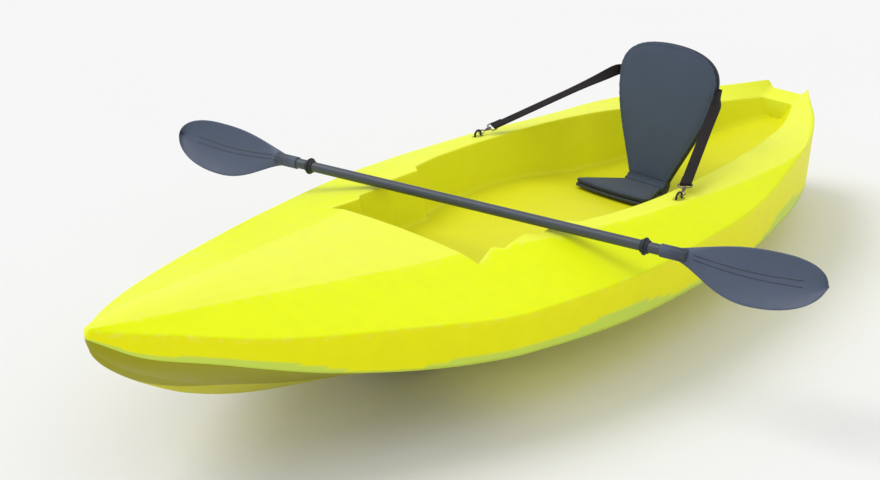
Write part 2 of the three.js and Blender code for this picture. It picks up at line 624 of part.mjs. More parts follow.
for (const [name, side] of Object.entries(SIDES)) {
  const contact = new THREE.Vector3(EYE_PLACE - EYE_RADIUS * Math.cos(shoulderAngle), side * EYE_HALF_BREADTH,
    eyeDeck + EYE_STRAIGHT + EYE_RADIUS * Math.sin(shoulderAngle));
  const overEdge = backPoint(side * (edgeAtStrap + 10), STRAP_HEIGHT_ON_BACK - 2, 8);
  const pull = overEdge.clone().sub(contact).normalize();
  const wide = across.clone().addScaledVector(pull, -across.dot(pull)).normalize();
  const normal = pull.clone().cross(wide);

  // The snap is drawn flat with its ring's centre at the origin and its shank along +X.
  const ringOffset = SNAP_RING_RADIUS - (EYE_WIRE + SNAP_WIRE) / 2 - FIT_GAP;
  const snap = new THREE.Matrix4().makeBasis(pull, wide, normal)
    .setPosition(contact.clone().addScaledVector(pull, ringOffset));

  const gateHinge = THREE.MathUtils.degToRad(27);
  const gateTip = THREE.MathUtils.degToRad(78);
  class HookCurve extends THREE.Curve {
    getPoint(t, target = new THREE.Vector3()) {
      const angle = (gateTip + THREE.MathUtils.degToRad(8)) * (1 - t) + 2 * Math.PI * t;
      return target.set(SNAP_RING_RADIUS * Math.cos(angle), SNAP_RING_RADIUS * Math.sin(angle), 0);
    }
  }
  class GateCurve extends THREE.Curve {
    getPoint(t, target = new THREE.Vector3()) {
      const angle = gateHinge * (1 - t) + gateTip * t;
      return target.set(SNAP_RING_RADIUS * Math.cos(angle), SNAP_RING_RADIUS * Math.sin(angle), 0);
    }
  }
  const barrelStart = SNAP_RING_RADIUS + 7;
  const barrelEnd = barrelStart + SWIVEL_LENGTH;
  const headEnd = barrelEnd + FIT_GAP + 2.5;
  const hook = solid(wire(new HookCurve(), SNAP_WIRE, 14))
    .add(solid(rod([SNAP_RING_RADIUS - 0.5, 0, 0], [barrelEnd + FIT_GAP + 1, 0, 0], SNAP_SHANK, 12)))
    .add(solid(rod([SNAP_RING_RADIUS + 3, 0, 0], [barrelStart - FIT_GAP, 0, 0], SNAP_SHANK + 2, 12)))
    .add(solid(rod([barrelEnd + FIT_GAP, 0, 0], [headEnd, 0, 0], SNAP_SHANK + 2.4, 12)));
  add(`snap_hook_${name}`, placed(geometryOf(hook), snap), FINISH.steel);
  add(`snap_gate_${name}`, placed(wire(new GateCurve(), SNAP_WIRE - 0.8, 6), snap), FINISH.steel);

  // Swivel: a barrel on the shank with a frame for the webbing.
  const frameInner = WEBBING_WIDTH + 2;
  const frameStart = barrelEnd - 2;
  const frameLength = FRAME_OPENING + 2 * FRAME_WIRE;
  const frameHalf = frameInner / 2 + FRAME_WIRE;
  const outline = new THREE.Shape();
  const r = 6;
  outline.moveTo(frameStart + r, -frameHalf);
  outline.lineTo(frameStart + frameLength, -frameHalf);
  outline.lineTo(frameStart + frameLength, frameHalf);
  outline.lineTo(frameStart + r, frameHalf);
  outline.quadraticCurveTo(frameStart, frameHalf, frameStart, frameHalf - r);
  outline.lineTo(frameStart, r - frameHalf);
  outline.quadraticCurveTo(frameStart, -frameHalf, frameStart + r, -frameHalf);
  const hole = new THREE.Path();
  const x0 = frameStart + FRAME_WIRE;
  const x1 = x0 + FRAME_OPENING;
  hole.moveTo(x0, -frameInner / 2);
  hole.lineTo(x1, -frameInner / 2);
  hole.lineTo(x1, frameInner / 2);
  hole.lineTo(x0, frameInner / 2);
  outline.holes.push(hole);
  const frame = new THREE.ExtrudeGeometry(outline, { depth: FRAME_WIRE, bevelEnabled: false, curveSegments: 4 })
    .translate(0, 0, -FRAME_WIRE / 2);
  const swivel = solid(frame)
    .add(solid(rod([barrelStart, 0, 0], [barrelEnd, 0, 0], SWIVEL_BARREL, 16)))
    .subtract(solid(rod([barrelStart - 1, 0, 0], [headEnd + FIT_GAP, 0, 0], SNAP_SHANK + 2 * FIT_GAP, 12)))
    .subtract(solid(rod([barrelEnd, 0, 0], [headEnd + FIT_GAP, 0, 0], SNAP_SHANK + 2.4 + 2 * FIT_GAP, 12)));
  add(`snap_swivel_${name}`, placed(geometryOf(swivel), snap), FINISH.steel);

  // The strap's front end is a sewn loop round the frame's rear bar.
  const barCentre = x1 + FRAME_WIRE / 2;
  const hub = FRAME_WIRE * 0.71 + FIT_GAP;
  const loopShape = new THREE.Shape();
  const rim = hub + WEBBING_THICKNESS;
  const lap = 26;
  loopShape.absarc(0, 0, rim, Math.PI * 0.3, Math.PI * 1.7);
  loopShape.lineTo(lap, -WEBBING_THICKNESS / 2);
  loopShape.lineTo(lap, WEBBING_THICKNESS / 2);
  const eyelet = new THREE.Path().absarc(0, 0, hub, 0, 2 * Math.PI);
  loopShape.holes.push(eyelet);
  const loop = new THREE.ExtrudeGeometry(loopShape, { depth: WEBBING_WIDTH, bevelEnabled: false, curveSegments: 12 })
    .translate(0, 0, -WEBBING_WIDTH / 2)
    .rotateX(Math.PI / 2)
    .translate(barCentre, 0, 0);
  const loopEnd = new THREE.Vector3(barCentre + lap - 3, 0, 0).applyMatrix4(snap);

  const route = new THREE.CatmullRomCurve3([
    loopEnd,
    loopEnd.clone().lerp(overEdge, 0.3),
    loopEnd.clone().lerp(overEdge, 0.6),
    loopEnd.clone().lerp(overEdge, 0.85),
    overEdge,
    backPoint(side * (edgeAtStrap + 7), STRAP_HEIGHT_ON_BACK, strapDepth - 5),
    backPoint(side * (edgeAtStrap - 5), STRAP_HEIGHT_ON_BACK, strapDepth + 0.8),
    backPoint(side * (edgeAtStrap - 26), STRAP_HEIGHT_ON_BACK, strapDepth),
    backPoint(side * (edgeAtStrap - 62), STRAP_HEIGHT_ON_BACK, strapDepth),
  ], false, 'centripetal');
  // Both straps twist the same way, so one is not the other's mirror image.
  const widths = (t) => {
    const blend = THREE.MathUtils.smoothstep(t, 0.05, 0.62);
    return wide.clone().multiplyScalar(1 - blend).addScaledVector(backUp, -blend);
  };
  const strap = solid(placed(loop, snap)).add(solid(ribbon(route, widths, 40, WEBBING_WIDTH, WEBBING_THICKNESS)));
  add(`strap_${name}`, strap, FINISH.webbing);

  // Keeper: a bridge over the strap's end, screwed to the board above and below it.
  const keeperY = side * (edgeAtStrap - 48);
  const bridge = new THREE.Shape();
  const halfTall = WEBBING_WIDTH / 2 + 12;
  const channel = WEBBING_WIDTH / 2 + 1;
  const low = boardBack + FIT_GAP;
  const under = strapDepth + WEBBING_THICKNESS / 2 + FIT_GAP;
  const over = under + 3;
  bridge.moveTo(-halfTall, low);
  bridge.lineTo(-channel, low);
  bridge.lineTo(-channel, under);
  bridge.lineTo(channel, under);
  bridge.lineTo(channel, low);
  bridge.lineTo(halfTall, low);
  bridge.lineTo(halfTall, over);
  bridge.lineTo(-halfTall, over);
  const keeperWidth = 22;
  const keeperBlock = new THREE.ExtrudeGeometry(bridge, { depth: keeperWidth, bevelEnabled: false })
    .translate(0, 0, -keeperWidth / 2);
  const keeperFrame = new THREE.Matrix4().makeBasis(backUp, backFront.clone().negate(), across.clone().negate())
    .setPosition(backPoint(keeperY, STRAP_HEIGHT_ON_BACK, 0));
  let keeper = solid(placed(keeperBlock, keeperFrame));
  for (const [label, lift] of [['upper', halfTall - 6], ['lower', 6 - halfTall]]) {
    const at = (depth) => backPoint(keeperY, STRAP_HEIGHT_ON_BACK + lift, depth).toArray();
    keeper = keeper.subtract(solid(rod(at(low - 2), at(over + 2), 4 + 2 * FIT_GAP, 12)));
    screwPlaces.push([`keeper_screw_${name}_${label}`, at, over]);
  }
  add(`strap_keeper_${name}`, keeper, FINISH.slateDark);
}

for (const [name, at, over] of screwPlaces) {
  board = board.subtract(solid(rod(at(boardFront - 1), at(boardBack + 1), 4 + 2 * FIT_GAP, 12)));
  const screw = solid(rod(at(boardFront + 1), at(over + 1), 4, 12))
    .add(solid(rod(at(over + FIT_GAP), at(over + 2.6), 8, 12)));
  add(name, screw, FINISH.steel);
}
add('backrest_board', board, FINISH.slateDark);

// ---- Paddle ----
// Drawn along X from its centre, with the power face up, then laid across the deck.
const shaftRadius = SHAFT_DIAMETER / 2;
const halfPaddle = PADDLE_LENGTH / 2;

// Highest point of the deck that the shaft lies across.
function deckUnderShaft() {
  let highest = 0;
  for (let y = -halfBeam; y <= halfBeam; y += 5) {
    const x = PADDLE_PLACE - (y - PADDLE_SIDEWAYS) * Math.tan(PADDLE_SKEW);
    for (const ahead of [-shaftRadius, 0, shaftRadius]) {
      if (Math.abs(y) > rimLine(x) - 1) highest = Math.max(highest, deckHeight(x + ahead, y));
    }
  }
  return highest;
}
const bladeRoot = halfPaddle - BLADE_LENGTH;
const shaftEnd = bladeRoot + SOCKET_LENGTH - 4;
const paddle = new THREE.Group();
paddle.position.set(PADDLE_PLACE, PADDLE_SIDEWAYS, deckUnderShaft() + SHAFT_DIAMETER / 2 + FIT_GAP);
paddle.rotation.set(0, 0, Math.PI / 2 + PADDLE_SKEW);
kayak.add(paddle);

const tube = solid(rod([-shaftEnd, 0, 0], [shaftEnd, 0, 0], SHAFT_DIAMETER, 20))
  .subtract(solid(rod([-shaftEnd - 1, 0, 0], [shaftEnd + 1, 0, 0], SHAFT_DIAMETER - 2 * SHAFT_WALL, 20)));
add('paddle_shaft', tube, FINISH.slateDark, paddle);

function bladeOutline() {
  const root = bladeRoot + SOCKET_LENGTH - 16;
  const tip = halfPaddle;
  const neck = shaftRadius;
  const shape = new THREE.Shape();
  shape.moveTo(root, -neck);
  shape.bezierCurveTo(root + 50, -neck - 8, root + 90, -BLADE_WIDE_SIDE, tip - 145, -BLADE_WIDE_SIDE);
  shape.bezierCurveTo(tip - 60, -BLADE_WIDE_SIDE, tip - 4, -34, tip, 4);
  shape.bezierCurveTo(tip + 1, 26, tip - 28, BLADE_NARROW_SIDE, tip - 95, BLADE_NARROW_SIDE);
  shape.bezierCurveTo(tip - 190, BLADE_NARROW_SIDE, root + 90, 34, root, neck);
  return shape;
}

const socketRadius = shaftRadius + FIT_GAP + SOCKET_WALL;
function bladeSolid() {
  const plate = new THREE.ExtrudeGeometry(bladeOutline(), { depth: BLADE_THICKNESS, bevelEnabled: false, curveSegments: 9 })
    .translate(0, 0, -BLADE_THICKNESS / 2);
  const socketEnd = bladeRoot + SOCKET_LENGTH;
  return solid(plate)
    .add(solid(rod([bladeRoot, 0, 0], [socketEnd, 0, 0], 2 * socketRadius, 20)))
    .add(solid(rod([socketEnd - 0.1, 0, 0], [socketEnd + 70, 0, 0], 2 * socketRadius, 20, 4)))
    .subtract(solid(rod([bladeRoot - 1, 0, 0], [socketEnd - 3, 0, 0], SHAFT_DIAMETER + 2 * FIT_GAP, 20)));
}

// The ridges that hold the shaft are level, so the blades' tilt is counted from the horizontal.
const blade = geometryOf(bladeSolid()).rotateX(BLADE_PITCH);
const ringBore = SHAFT_DIAMETER / 2 + 0.4;
for (const [name, side] of Object.entries(SIDES)) {
  const half = side > 0 ? blade.clone() : placed(blade, new THREE.Matrix4().makeScale(-1, 1, 1));
  if (side < 0) half.setIndex(Array.from(half.index.array).reverse());
  half.computeVertexNormals();
  add(`blade_${name}`, half, FINISH.slate, paddle);
  const ringX = side * (bladeRoot - RING_FROM_SOCKET);
  const outer = RING_DIAMETER / 2;
  const profile = [[ringBore, -8], [ringBore + 2.5, -8], [ringBore + 2.5, -RING_THICKNESS / 2], [outer, -1.2],
    [outer, 1.2], [ringBore + 2.5, RING_THICKNESS / 2], [ringBore + 2.5, 8], [ringBore, 8], [ringBore, -8]];
  const dripRing = new THREE.LatheGeometry(profile.map(([radius, d]) => new THREE.Vector2(radius, d)), 20)
    .rotateZ(-Math.PI / 2)
    .translate(ringX, 0, 0);
  add(`drip_ring_${name}`, dripRing, FINISH.black, paddle);
}

export default kayak;
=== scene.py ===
import math

import bmesh
import bpy
from bpy.props import FloatProperty, FloatVectorProperty, PointerProperty
from mathutils import Matrix, Vector
from mathutils.bvhtree import BVHTree
from mathutils.kdtree import KDTree


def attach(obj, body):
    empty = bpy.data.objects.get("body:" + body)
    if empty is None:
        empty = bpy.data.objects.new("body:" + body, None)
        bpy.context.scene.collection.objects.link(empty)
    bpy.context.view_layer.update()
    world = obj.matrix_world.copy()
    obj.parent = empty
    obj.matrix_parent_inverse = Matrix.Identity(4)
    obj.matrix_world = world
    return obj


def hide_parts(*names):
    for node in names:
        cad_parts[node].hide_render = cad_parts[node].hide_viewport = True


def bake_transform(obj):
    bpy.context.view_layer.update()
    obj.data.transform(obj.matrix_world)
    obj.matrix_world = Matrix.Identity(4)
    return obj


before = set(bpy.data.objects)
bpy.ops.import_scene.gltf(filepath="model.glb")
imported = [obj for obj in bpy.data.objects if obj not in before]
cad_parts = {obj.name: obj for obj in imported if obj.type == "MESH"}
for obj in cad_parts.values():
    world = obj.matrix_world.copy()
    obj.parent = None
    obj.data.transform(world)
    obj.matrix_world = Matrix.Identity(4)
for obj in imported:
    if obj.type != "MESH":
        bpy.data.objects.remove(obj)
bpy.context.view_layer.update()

bl_info = {
    "name": "Sit-on-top kayak",
    "version": (1, 0, 0),
    "blender": (4, 5, 0),
    "location": "3D View > Sidebar > Kayak",
    "description": "Builds a compact sit-on-top kayak with a folding seat and a paddle",
    "category": "Add Mesh",
}

# Frame: metres, +X to the bow, +Y to port, +Z up, the origin on the ground under mid-length.
PORT, STARBOARD = 1, -1
SIDES = {"port": PORT, "starboard": STARBOARD}
ACROSS = Vector((0, 1, 0))


def length_of(default, text, least=0.0):
    """A size in metres, as a user of the panel sees it. Each size's name comes from its attribute's."""
    return FloatProperty(description=text, default=default, min=least, unit="LENGTH", precision=4)


def angle_of(degrees, text):
    return FloatProperty(description=text, default=math.radians(degrees), subtype="ANGLE")


def colour_of(default, text):
    return FloatVectorProperty(description="Colour of " + text, default=default, size=3, min=0, max=1,
                               subtype="COLOR")


class KayakHullSizes(bpy.types.PropertyGroup):
    """Sizes and colours of the moulded hull."""

    length: length_of(2.186, "Length of the hull over all")
    beam: length_of(0.832, "Breadth of the hull at the gunwales")
    gunwale_height: length_of(0.242, "Height of the gunwale amidships")
    wall: length_of(0.004, "Thickness of the moulded wall")
    gunwale_round: length_of(0.007, "How far from the gunwale's edge its rounding starts")
    ridge_round: length_of(0.006, "How far from the deck's ridge its rounding starts")
    rim_round: length_of(0.0045, "How far from the well's rim its rounding starts")
    floor_round: length_of(0.011, "How far from the foot of the well's wall its rounding starts")
    well_front: length_of(0.327, "Where the well begins, ahead of mid-length")
    well_margin: length_of(0.053, "Distance from the transom to the end of the well")
    wall_draft: length_of(0.028, "How far the foot of the well's wall stands in from its edge")
    footrest_reach: length_of(0.020, "How far a footrest stands in from the wall")
    footrest_run: length_of(0.016, "Length of the footrest's face")
    # The zones' colours paint light and shade on one yellow plastic: the panel is painted lighter as light;
    # the band's mustard, the well's walls and floor, the bilge and the keel are painted shade; and the glint
    # is a painted reflection.
    deck: colour_of((0.80, 0.90, 0.0), "the sloping sides of the deck")
    panel: colour_of((0.84, 0.90, 0.055), "the flat foredeck and the inner rims")
    glint: colour_of((0.60, 0.76, 0.09), "the glints low on the sides")
    band: colour_of((0.88, 0.87, 0.0), "the sides below the gunwale")
    floor: colour_of((0.74, 0.74, 0.012), "the well's floor")
    well_wall_shade: colour_of((0.80, 0.81, 0.012), "the well's walls")
    bilge: colour_of((0.33, 0.32, 0.008), "the bottom's outer facets")
    keel: colour_of((0.58, 0.56, 0.012), "the bottom along the keel")


class KayakSeatSizes(bpy.types.PropertyGroup):
    """Sizes and colours of the folding seat."""

    place: length_of(-0.495, "Where the seat folds, ahead of mid-length", least=-5.0)
    fold_height: length_of(0.17068, "Height of the fold above the ground")
    recline: angle_of(13.7, "Lean of the backrest from upright")
    slope: angle_of(10, "Rise of the seat towards its front edge")
    back_height: length_of(0.331, "Height of the backrest along its face")
    back_half_width: length_of(0.138, "Half the backrest's greatest width")
    back_foot: length_of(0.056, "Half the backrest's width at the fold")
    seat_length: length_of(0.146, "Length of the seat from the fold")
    seat_half_width: length_of(0.101, "Half the seat's width at its front")
    seat_heel: length_of(0.052, "Half the seat's width at the fold")
    pad: length_of(0.013, "Thickness of the padding")
    board: length_of(0.007, "Thickness of the boards behind and below the padding")
    board_gap: length_of(0.0005, "Gap between padding and boards")
    pad_start: length_of(0.004, "Distance from the fold to the padding")
    crown: length_of(0.005, "Most that the padding swells")
    fabric: colour_of((0.063, 0.084, 0.136), "the backrest's fabric")
    seat_fabric: colour_of((0.053, 0.070, 0.100), "the seat's fabric")
    # The edges' colour is painted shade: a darker copy of the fabric for the cushions' sides and the fold's
    # back.
    trim: colour_of((0.031, 0.040, 0.057), "the edges")
    board_colour: colour_of((0.030, 0.037, 0.050), "the moulded boards")


class KayakRiggingSizes(bpy.types.PropertyGroup):
    """Sizes and colours of the deck eyes, snaps and straps."""

    eye_place: length_of(-0.221, "Where the deck eyes stand, ahead of mid-length", least=-5.0)
    eye_half_breadth: length_of(0.289, "Distance of each eye from the centreline")
    eye_height: length_of(0.28428, "Height of the deck under the eyes")
    eye_wire: length_of(0.005, "Diameter of the eyes' wire")
    eye_radius: length_of(0.010, "Radius of the eyes' bend")
    eye_straight: length_of(0.004, "Straight part of the eyes above the deck")
    eye_leg: length_of(0.017, "Length of the eyes' legs inside the hull")
    ring_radius: length_of(0.007, "Radius of the snaps' hooks")
    snap_wire: length_of(0.003, "Diameter of the snaps' hooks")
    shank: length_of(0.0034, "Diameter of the snaps' shanks")
    barrel: length_of(0.008, "Diameter and length of the swivels' barrels")
    frame_wire: length_of(0.0034, "Thickness of the swivels' frames")
    frame_opening: length_of(0.009, "Length of the frames' slots")
    fit: length_of(0.0005, "Gap between pieces that turn on each other")
    webbing_width: length_of(0.025, "Width of the straps")
    webbing_thickness: length_of(0.0022, "Thickness of the straps")
    strap_height: length_of(0.240, "Height of the straps' ends on the backrest")
    webbing: colour_of((0.0165, 0.0125, 0.0135), "the straps")
    metal: colour_of((0.20, 0.165, 0.18), "the snaps")
    wire: colour_of((0.012, 0.010, 0.010), "the coated wire")


class KayakPaddleSizes(bpy.types.PropertyGroup):
    """Sizes and colours of the paddle."""

    length: length_of(1.564, "Length of the paddle over all")
    place: length_of(0.158, "Distance of the paddle's middle ahead of mid-length")
    sideways: length_of(0.029, "How far the paddle lies towards port")
    height: length_of(0.31078, "Height of the shaft's axis")
    skew: angle_of(10.4, "Turn of the paddle from straight across the hull")
    shaft: length_of(0.022, "Diameter of the shaft")
    shaft_wall: length_of(0.002, "Thickness of the shaft's wall")
    blade_length: length_of(0.340, "Length of each blade with its socket")
    wide_side: length_of(0.066, "Half-breadth of a blade on its wide side")
    narrow_side: length_of(0.048, "Half-breadth of a blade on its narrow side")
    blade_thickness: length_of(0.005, "Thickness at the middle of a blade")
    pitch: angle_of(60, "Tilt of the blades from the horizontal")
    socket_length: length_of(0.046, "Length of each blade's socket")
    socket_wall: length_of(0.0026, "Thickness of the sockets' wall")
    ring: length_of(0.036, "Diameter of the drip rings")
    ring_from_socket: length_of(0.034, "Distance from a socket to its drip ring")
    blade: colour_of((0.060, 0.082, 0.134), "the blades")
    # The grooves' colour is painted shade: the blades' ribs and the sockets' blunt ends are painted dark with
    # it.
    groove: colour_of((0.028, 0.034, 0.048), "the blades' grooves and edges")
    tube: colour_of((0.052, 0.063, 0.088), "the shaft")
    rubber: colour_of((0.020, 0.024, 0.034), "the drip rings")


class KayakStageSizes(bpy.types.PropertyGroup):
    """The floor, the lights and the camera."""

    floor_size: length_of(30.0, "Half the width of the floor")
    floor_colour: colour_of((0.82, 0.82, 0.825), "the floor")
    sky: FloatProperty(description="Strength of the light from all round", default=0.82, min=0)
    key: FloatProperty(description="Strength of the main light", default=1.2, min=0)
    softness: angle_of(34, "Apparent size of the main light")
    azimuth: angle_of(133.5, "Direction of the camera round the kayak")
    elevation: angle_of(23.005, "Height of the camera above the horizon")
    distance: length_of(3.7754, "Distance of the camera from its target")
    lens: FloatProperty(description="Focal length of the camera", default=70.0, unit="CAMERA")


# ---- Lines and curves ----
def line(points):
    """Smooth line through (station, value) points listed from bow to stern; it never overshoots them."""
    last = len(points) - 1

    def secant(i):
        return (points[i + 1][1] - points[i][1]) / (points[i + 1][0] - points[i][0])

    def slope(i):
        if i in (0, last):
            return secant(min(i, last - 1))
        before, after = secant(i - 1), secant(i)
        return 2 * before * after / (before + after) if before * after > 0 else 0.0

    slopes = [slope(i) for i in range(last + 1)]

    def value(x):
        i = next((k for k, point in enumerate(points) if point[0] <= x), last)
        i = min(max(i - 1, 0), last - 1)
        (x0, y0), (x1, y1) = points[i], points[i + 1]
        h = x1 - x0
        t = min(max((x - x0) / h, 0.0), 1.0)
        rest = 1 - t
        ends = y0 * rest * rest * (1 + 2 * t) + y1 * t * t * (3 - 2 * t)
        return ends + slopes[i] * h * t * rest * rest - slopes[i + 1] * h * t * t * rest

    return value


def smoothstep(x, low, high):
    t = min(max((x - low) / (high - low), 0.0), 1.0)
    return t * t * (3 - 2 * t)


def mixed(a, b, t):
    return a + (b - a) * t


def bezier(a, b, c, d, steps):
    """Points along a cubic curve, without its last one."""
    points = []
    for i in range(steps):
        t = i / steps
        r = 1 - t
        points.append(tuple(a[k] * r ** 3 + 3 * b[k] * r * r * t + 3 * c[k] * r * t * t + d[k] * t ** 3
                            for k in range(2)))
    return points


def spline(points, steps):
    """Centripetal Catmull-Rom curve through points, with a number of steps in each span."""
    first = points[0] * 2 - points[1]
    last = points[-1] * 2 - points[-2]
    chain = [first, *points, last]
    curve = []
    for p0, p1, p2, p3 in zip(chain, chain[1:], chain[2:], chain[3:]):
        t1 = (p1 - p0).length ** 0.5
        t2 = t1 + (p2 - p1).length ** 0.5
        t3 = t2 + (p3 - p2).length ** 0.5
        for i in range(steps):
            t = t1 + (t2 - t1) * i / steps
            a1 = p0 * ((t1 - t) / t1) + p1 * (t / t1)
            a2 = p1 * ((t2 - t) / (t2 - t1)) + p2 * ((t - t1) / (t2 - t1))
            a3 = p2 * ((t3 - t) / (t3 - t2)) + p3 * ((t - t2) / (t3 - t2))
            b1 = a1 * ((t2 - t) / t2) + a2 * (t / t2)
            b2 = a2 * ((t3 - t) / (t3 - t1)) + a3 * ((t - t1) / (t3 - t1))
            curve.append(b1 * ((t2 - t) / (t2 - t1)) + b2 * ((t - t1) / (t2 - t1)))
    return [*curve, points[-1].copy()]


def arc(radius, start, end, steps):
    """Points of an arc in the XY plane; the angles are in degrees."""
    angles = [math.radians(mixed(start, end, i / steps)) for i in range(steps + 1)]
    return [Vector((radius * math.cos(a), radius * math.sin(a), 0)) for a in angles]


def spread(start, end, count):
    """Evenly spaced values from start up to end, without end."""
    return [mixed(start, end, i / count) for i in range(count)]


# ---- Meshes ----
def loft(rows, closed=False, caps=True, layer=None):
    """A skin through rows of points that all have the same count.

    A closed row joins its last point to its first. The UV map holds metres along and across.
    layer is a name and, for each point of each row, a colour.
    """
    across = len(rows[0]) - (0 if closed else 1)
    along = len(rows) - 1
    bm = bmesh.new()
    tint = bm.verts.layers.float_color.new(layer[0]) if layer else None
    bmesh.ops.create_grid(bm, x_segments=along, y_segments=across, size=1)
    uv = bm.loops.layers.uv.new("metres")
    lengths = [0.0]
    for a, b in zip(rows, rows[1:]):
        lengths.append(lengths[-1] + max((p - q).length for p, q in zip(a, b)))
    widest = max(rows, key=lambda row: sum((p - q).length for p, q in zip(row, row[1:])))
    girths = [0.0]
    for p, q in zip(widest, [*widest[1:], widest[0]]):
        girths.append(girths[-1] + (p - q).length)
    corner = {}
    for vert in bm.verts:
        i = round((vert.co.x + 1) / 2 * along)
        j = round((vert.co.y + 1) / 2 * across)
        corner[vert] = (i, j)
    for face in bm.faces:
        for loop in face.loops:
            i, j = corner[loop.vert]
            loop[uv].uv = (lengths[i], girths[j])
    for vert, (i, j) in corner.items():
        vert.co = rows[i][j % len(rows[i])]
        if layer:
            vert[tint] = layer[1][i][j % len(rows[i])]
    bmesh.ops.remove_doubles(bm, verts=bm.verts, dist=1e-6)
    bmesh.ops.dissolve_degenerate(bm, edges=bm.edges, dist=1e-7)
    if closed and caps:
        rims = [edge for edge in bm.edges if edge.is_boundary]
        if rims:
            bmesh.ops.holes_fill(bm, edges=rims, sides=0)
    if closed:
        bmesh.ops.recalc_face_normals(bm, faces=bm.faces)
    return bm


def frames_along(points):
    """For each point: the tangent and two directions across it, carried along without twisting."""
    tangents = []
    for i in range(len(points)):
        ahead = points[min(i + 1, len(points) - 1)]
        behind = points[max(i - 1, 0)]
        tangents.append((ahead - behind).normalized())
    side = tangents[0].orthogonal().normalized()
    result = []
    for tangent in tangents:
        side = (side - tangent * side.dot(tangent)).normalized()
        result.append((tangent, side, tangent.cross(side)))
    return result


def tube(points, diameter, sides=16, looped=False, rounded=False):
    """Round wire along points. A looped wire ends where it starts; a rounded one has domed ends."""
    radius = diameter / 2
    if looped:
        points = [*points, points[0]]
    rows = []
    directions = frames_along(points)
    if looped:
        closing = (points[1] - points[-2]).normalized()
        directions[0] = directions[-1] = (closing, *directions[0][1:])
    for point, (_, side, up) in zip(points, directions):
        angles = [2 * math.pi * k / sides for k in range(sides)]
        rows.append([point + side * (radius * math.cos(a)) + up * (radius * math.sin(a)) for a in angles])
    if rounded:
        DOME = ((0.45, 0.87), (0.85, 0.5), (0.98, 0.2))
        start, end = [], []
        for reach, share in DOME:
            tail = points[0] - directions[0][0] * radius * reach
            nose = points[-1] + directions[-1][0] * radius * reach
            start.insert(0, [tail + (p - points[0]) * share for p in rows[0]])
            end.append([nose + (p - points[-1]) * share for p in rows[-1]])
        rows = [*start, *rows, *end]
    return loft(rows, closed=True, caps=not looped)


def turned(profile, segments=48):
    """A lathe shape about X from (distance along, radius) points. A profile off the axis is a closed one."""
    bm = bmesh.new()
    verts = [bm.verts.new((x, radius, 0)) for x, radius in profile]
    pairs = list(zip(verts, verts[1:]))
    if profile[0][1] > 0:
        pairs.append((verts[-1], verts[0]))
    edges = [bm.edges.new(pair) for pair in pairs]
    bmesh.ops.spin(bm, geom=verts + edges, cent=(0, 0, 0), axis=(1, 0, 0), dvec=(0, 0, 0),
                   angle=2 * math.pi, steps=segments, use_merge=True, use_duplicate=False)
    bmesh.ops.remove_doubles(bm, verts=bm.verts, dist=1e-6)
    bmesh.ops.recalc_face_normals(bm, faces=bm.faces)
    return bm


def slab(outline, top, bottom, bevel=0.0, segments=2):
    """An outline in the XY plane between two heights, with its rims bevelled."""
    bm = bmesh.new()
    face = bm.faces.new([bm.verts.new((x, y, bottom)) for x, y in outline])
    grown = bmesh.ops.extrude_face_region(bm, geom=[face])
    raised = [part for part in grown["geom"] if isinstance(part, bmesh.types.BMVert)]
    bmesh.ops.translate(bm, vec=(0, 0, top - bottom), verts=raised)
    bmesh.ops.recalc_face_normals(bm, faces=bm.faces)
    if bevel:
        rims = [edge for edge in bm.edges if len(edge.link_faces) == 2 and edge.calc_face_angle() > 0.8]
        bmesh.ops.bevel(bm, geom=rims, offset=bevel, segments=segments, profile=0.5,
                        affect="EDGES", material=-1)
    return bm


def joined(*parts):
    """Several meshes as one."""
    whole = parts[0]
    for part in parts[1:]:
        loose = bpy.data.meshes.new("part")
        part.to_mesh(loose)
        part.free()
        whole.from_mesh(loose)
        bpy.data.meshes.remove(loose)
    return whole


def moved(bm, matrix):
    bmesh.ops.transform(bm, matrix=matrix, verts=bm.verts)
    if matrix.determinant() < 0:
        bmesh.ops.reverse_faces(bm, faces=bm.faces)
    return bm


def basis(x, y, z, place):
    """Matrix that takes local axes to three directions and the local origin to a place."""
    matrix = Matrix((x, y, z)).transposed().to_4x4()
    matrix.translation = place
    return matrix


def along_x(place, direction):
    """Matrix that takes local +X to a direction from a place."""
    x = Vector(direction).normalized()
    y = x.orthogonal().normalized()
    return basis(x, y, x.cross(y), Vector(place))


def piece(name, bm, material, body=None, nodes=(), sharp=35):
    """Makes a mesh a piece of the kayak, with its finish, its body and the CAD nodes it stands for."""
    mesh = bpy.data.meshes.new(name)
    bm.normal_update()
    bm.to_mesh(mesh)
    bm.free()
    mesh.shade_smooth()
    mesh.set_sharp_from_angle(angle=math.radians(sharp))
    made = bpy.data.objects.new(name, mesh)
    bpy.context.scene.collection.objects.link(made)
    for each in material if isinstance(material, (list, tuple)) else [material]:
        made.data.materials.append(each)
    if body:
        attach(made, body)
    if nodes:
        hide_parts(*nodes)
    return made


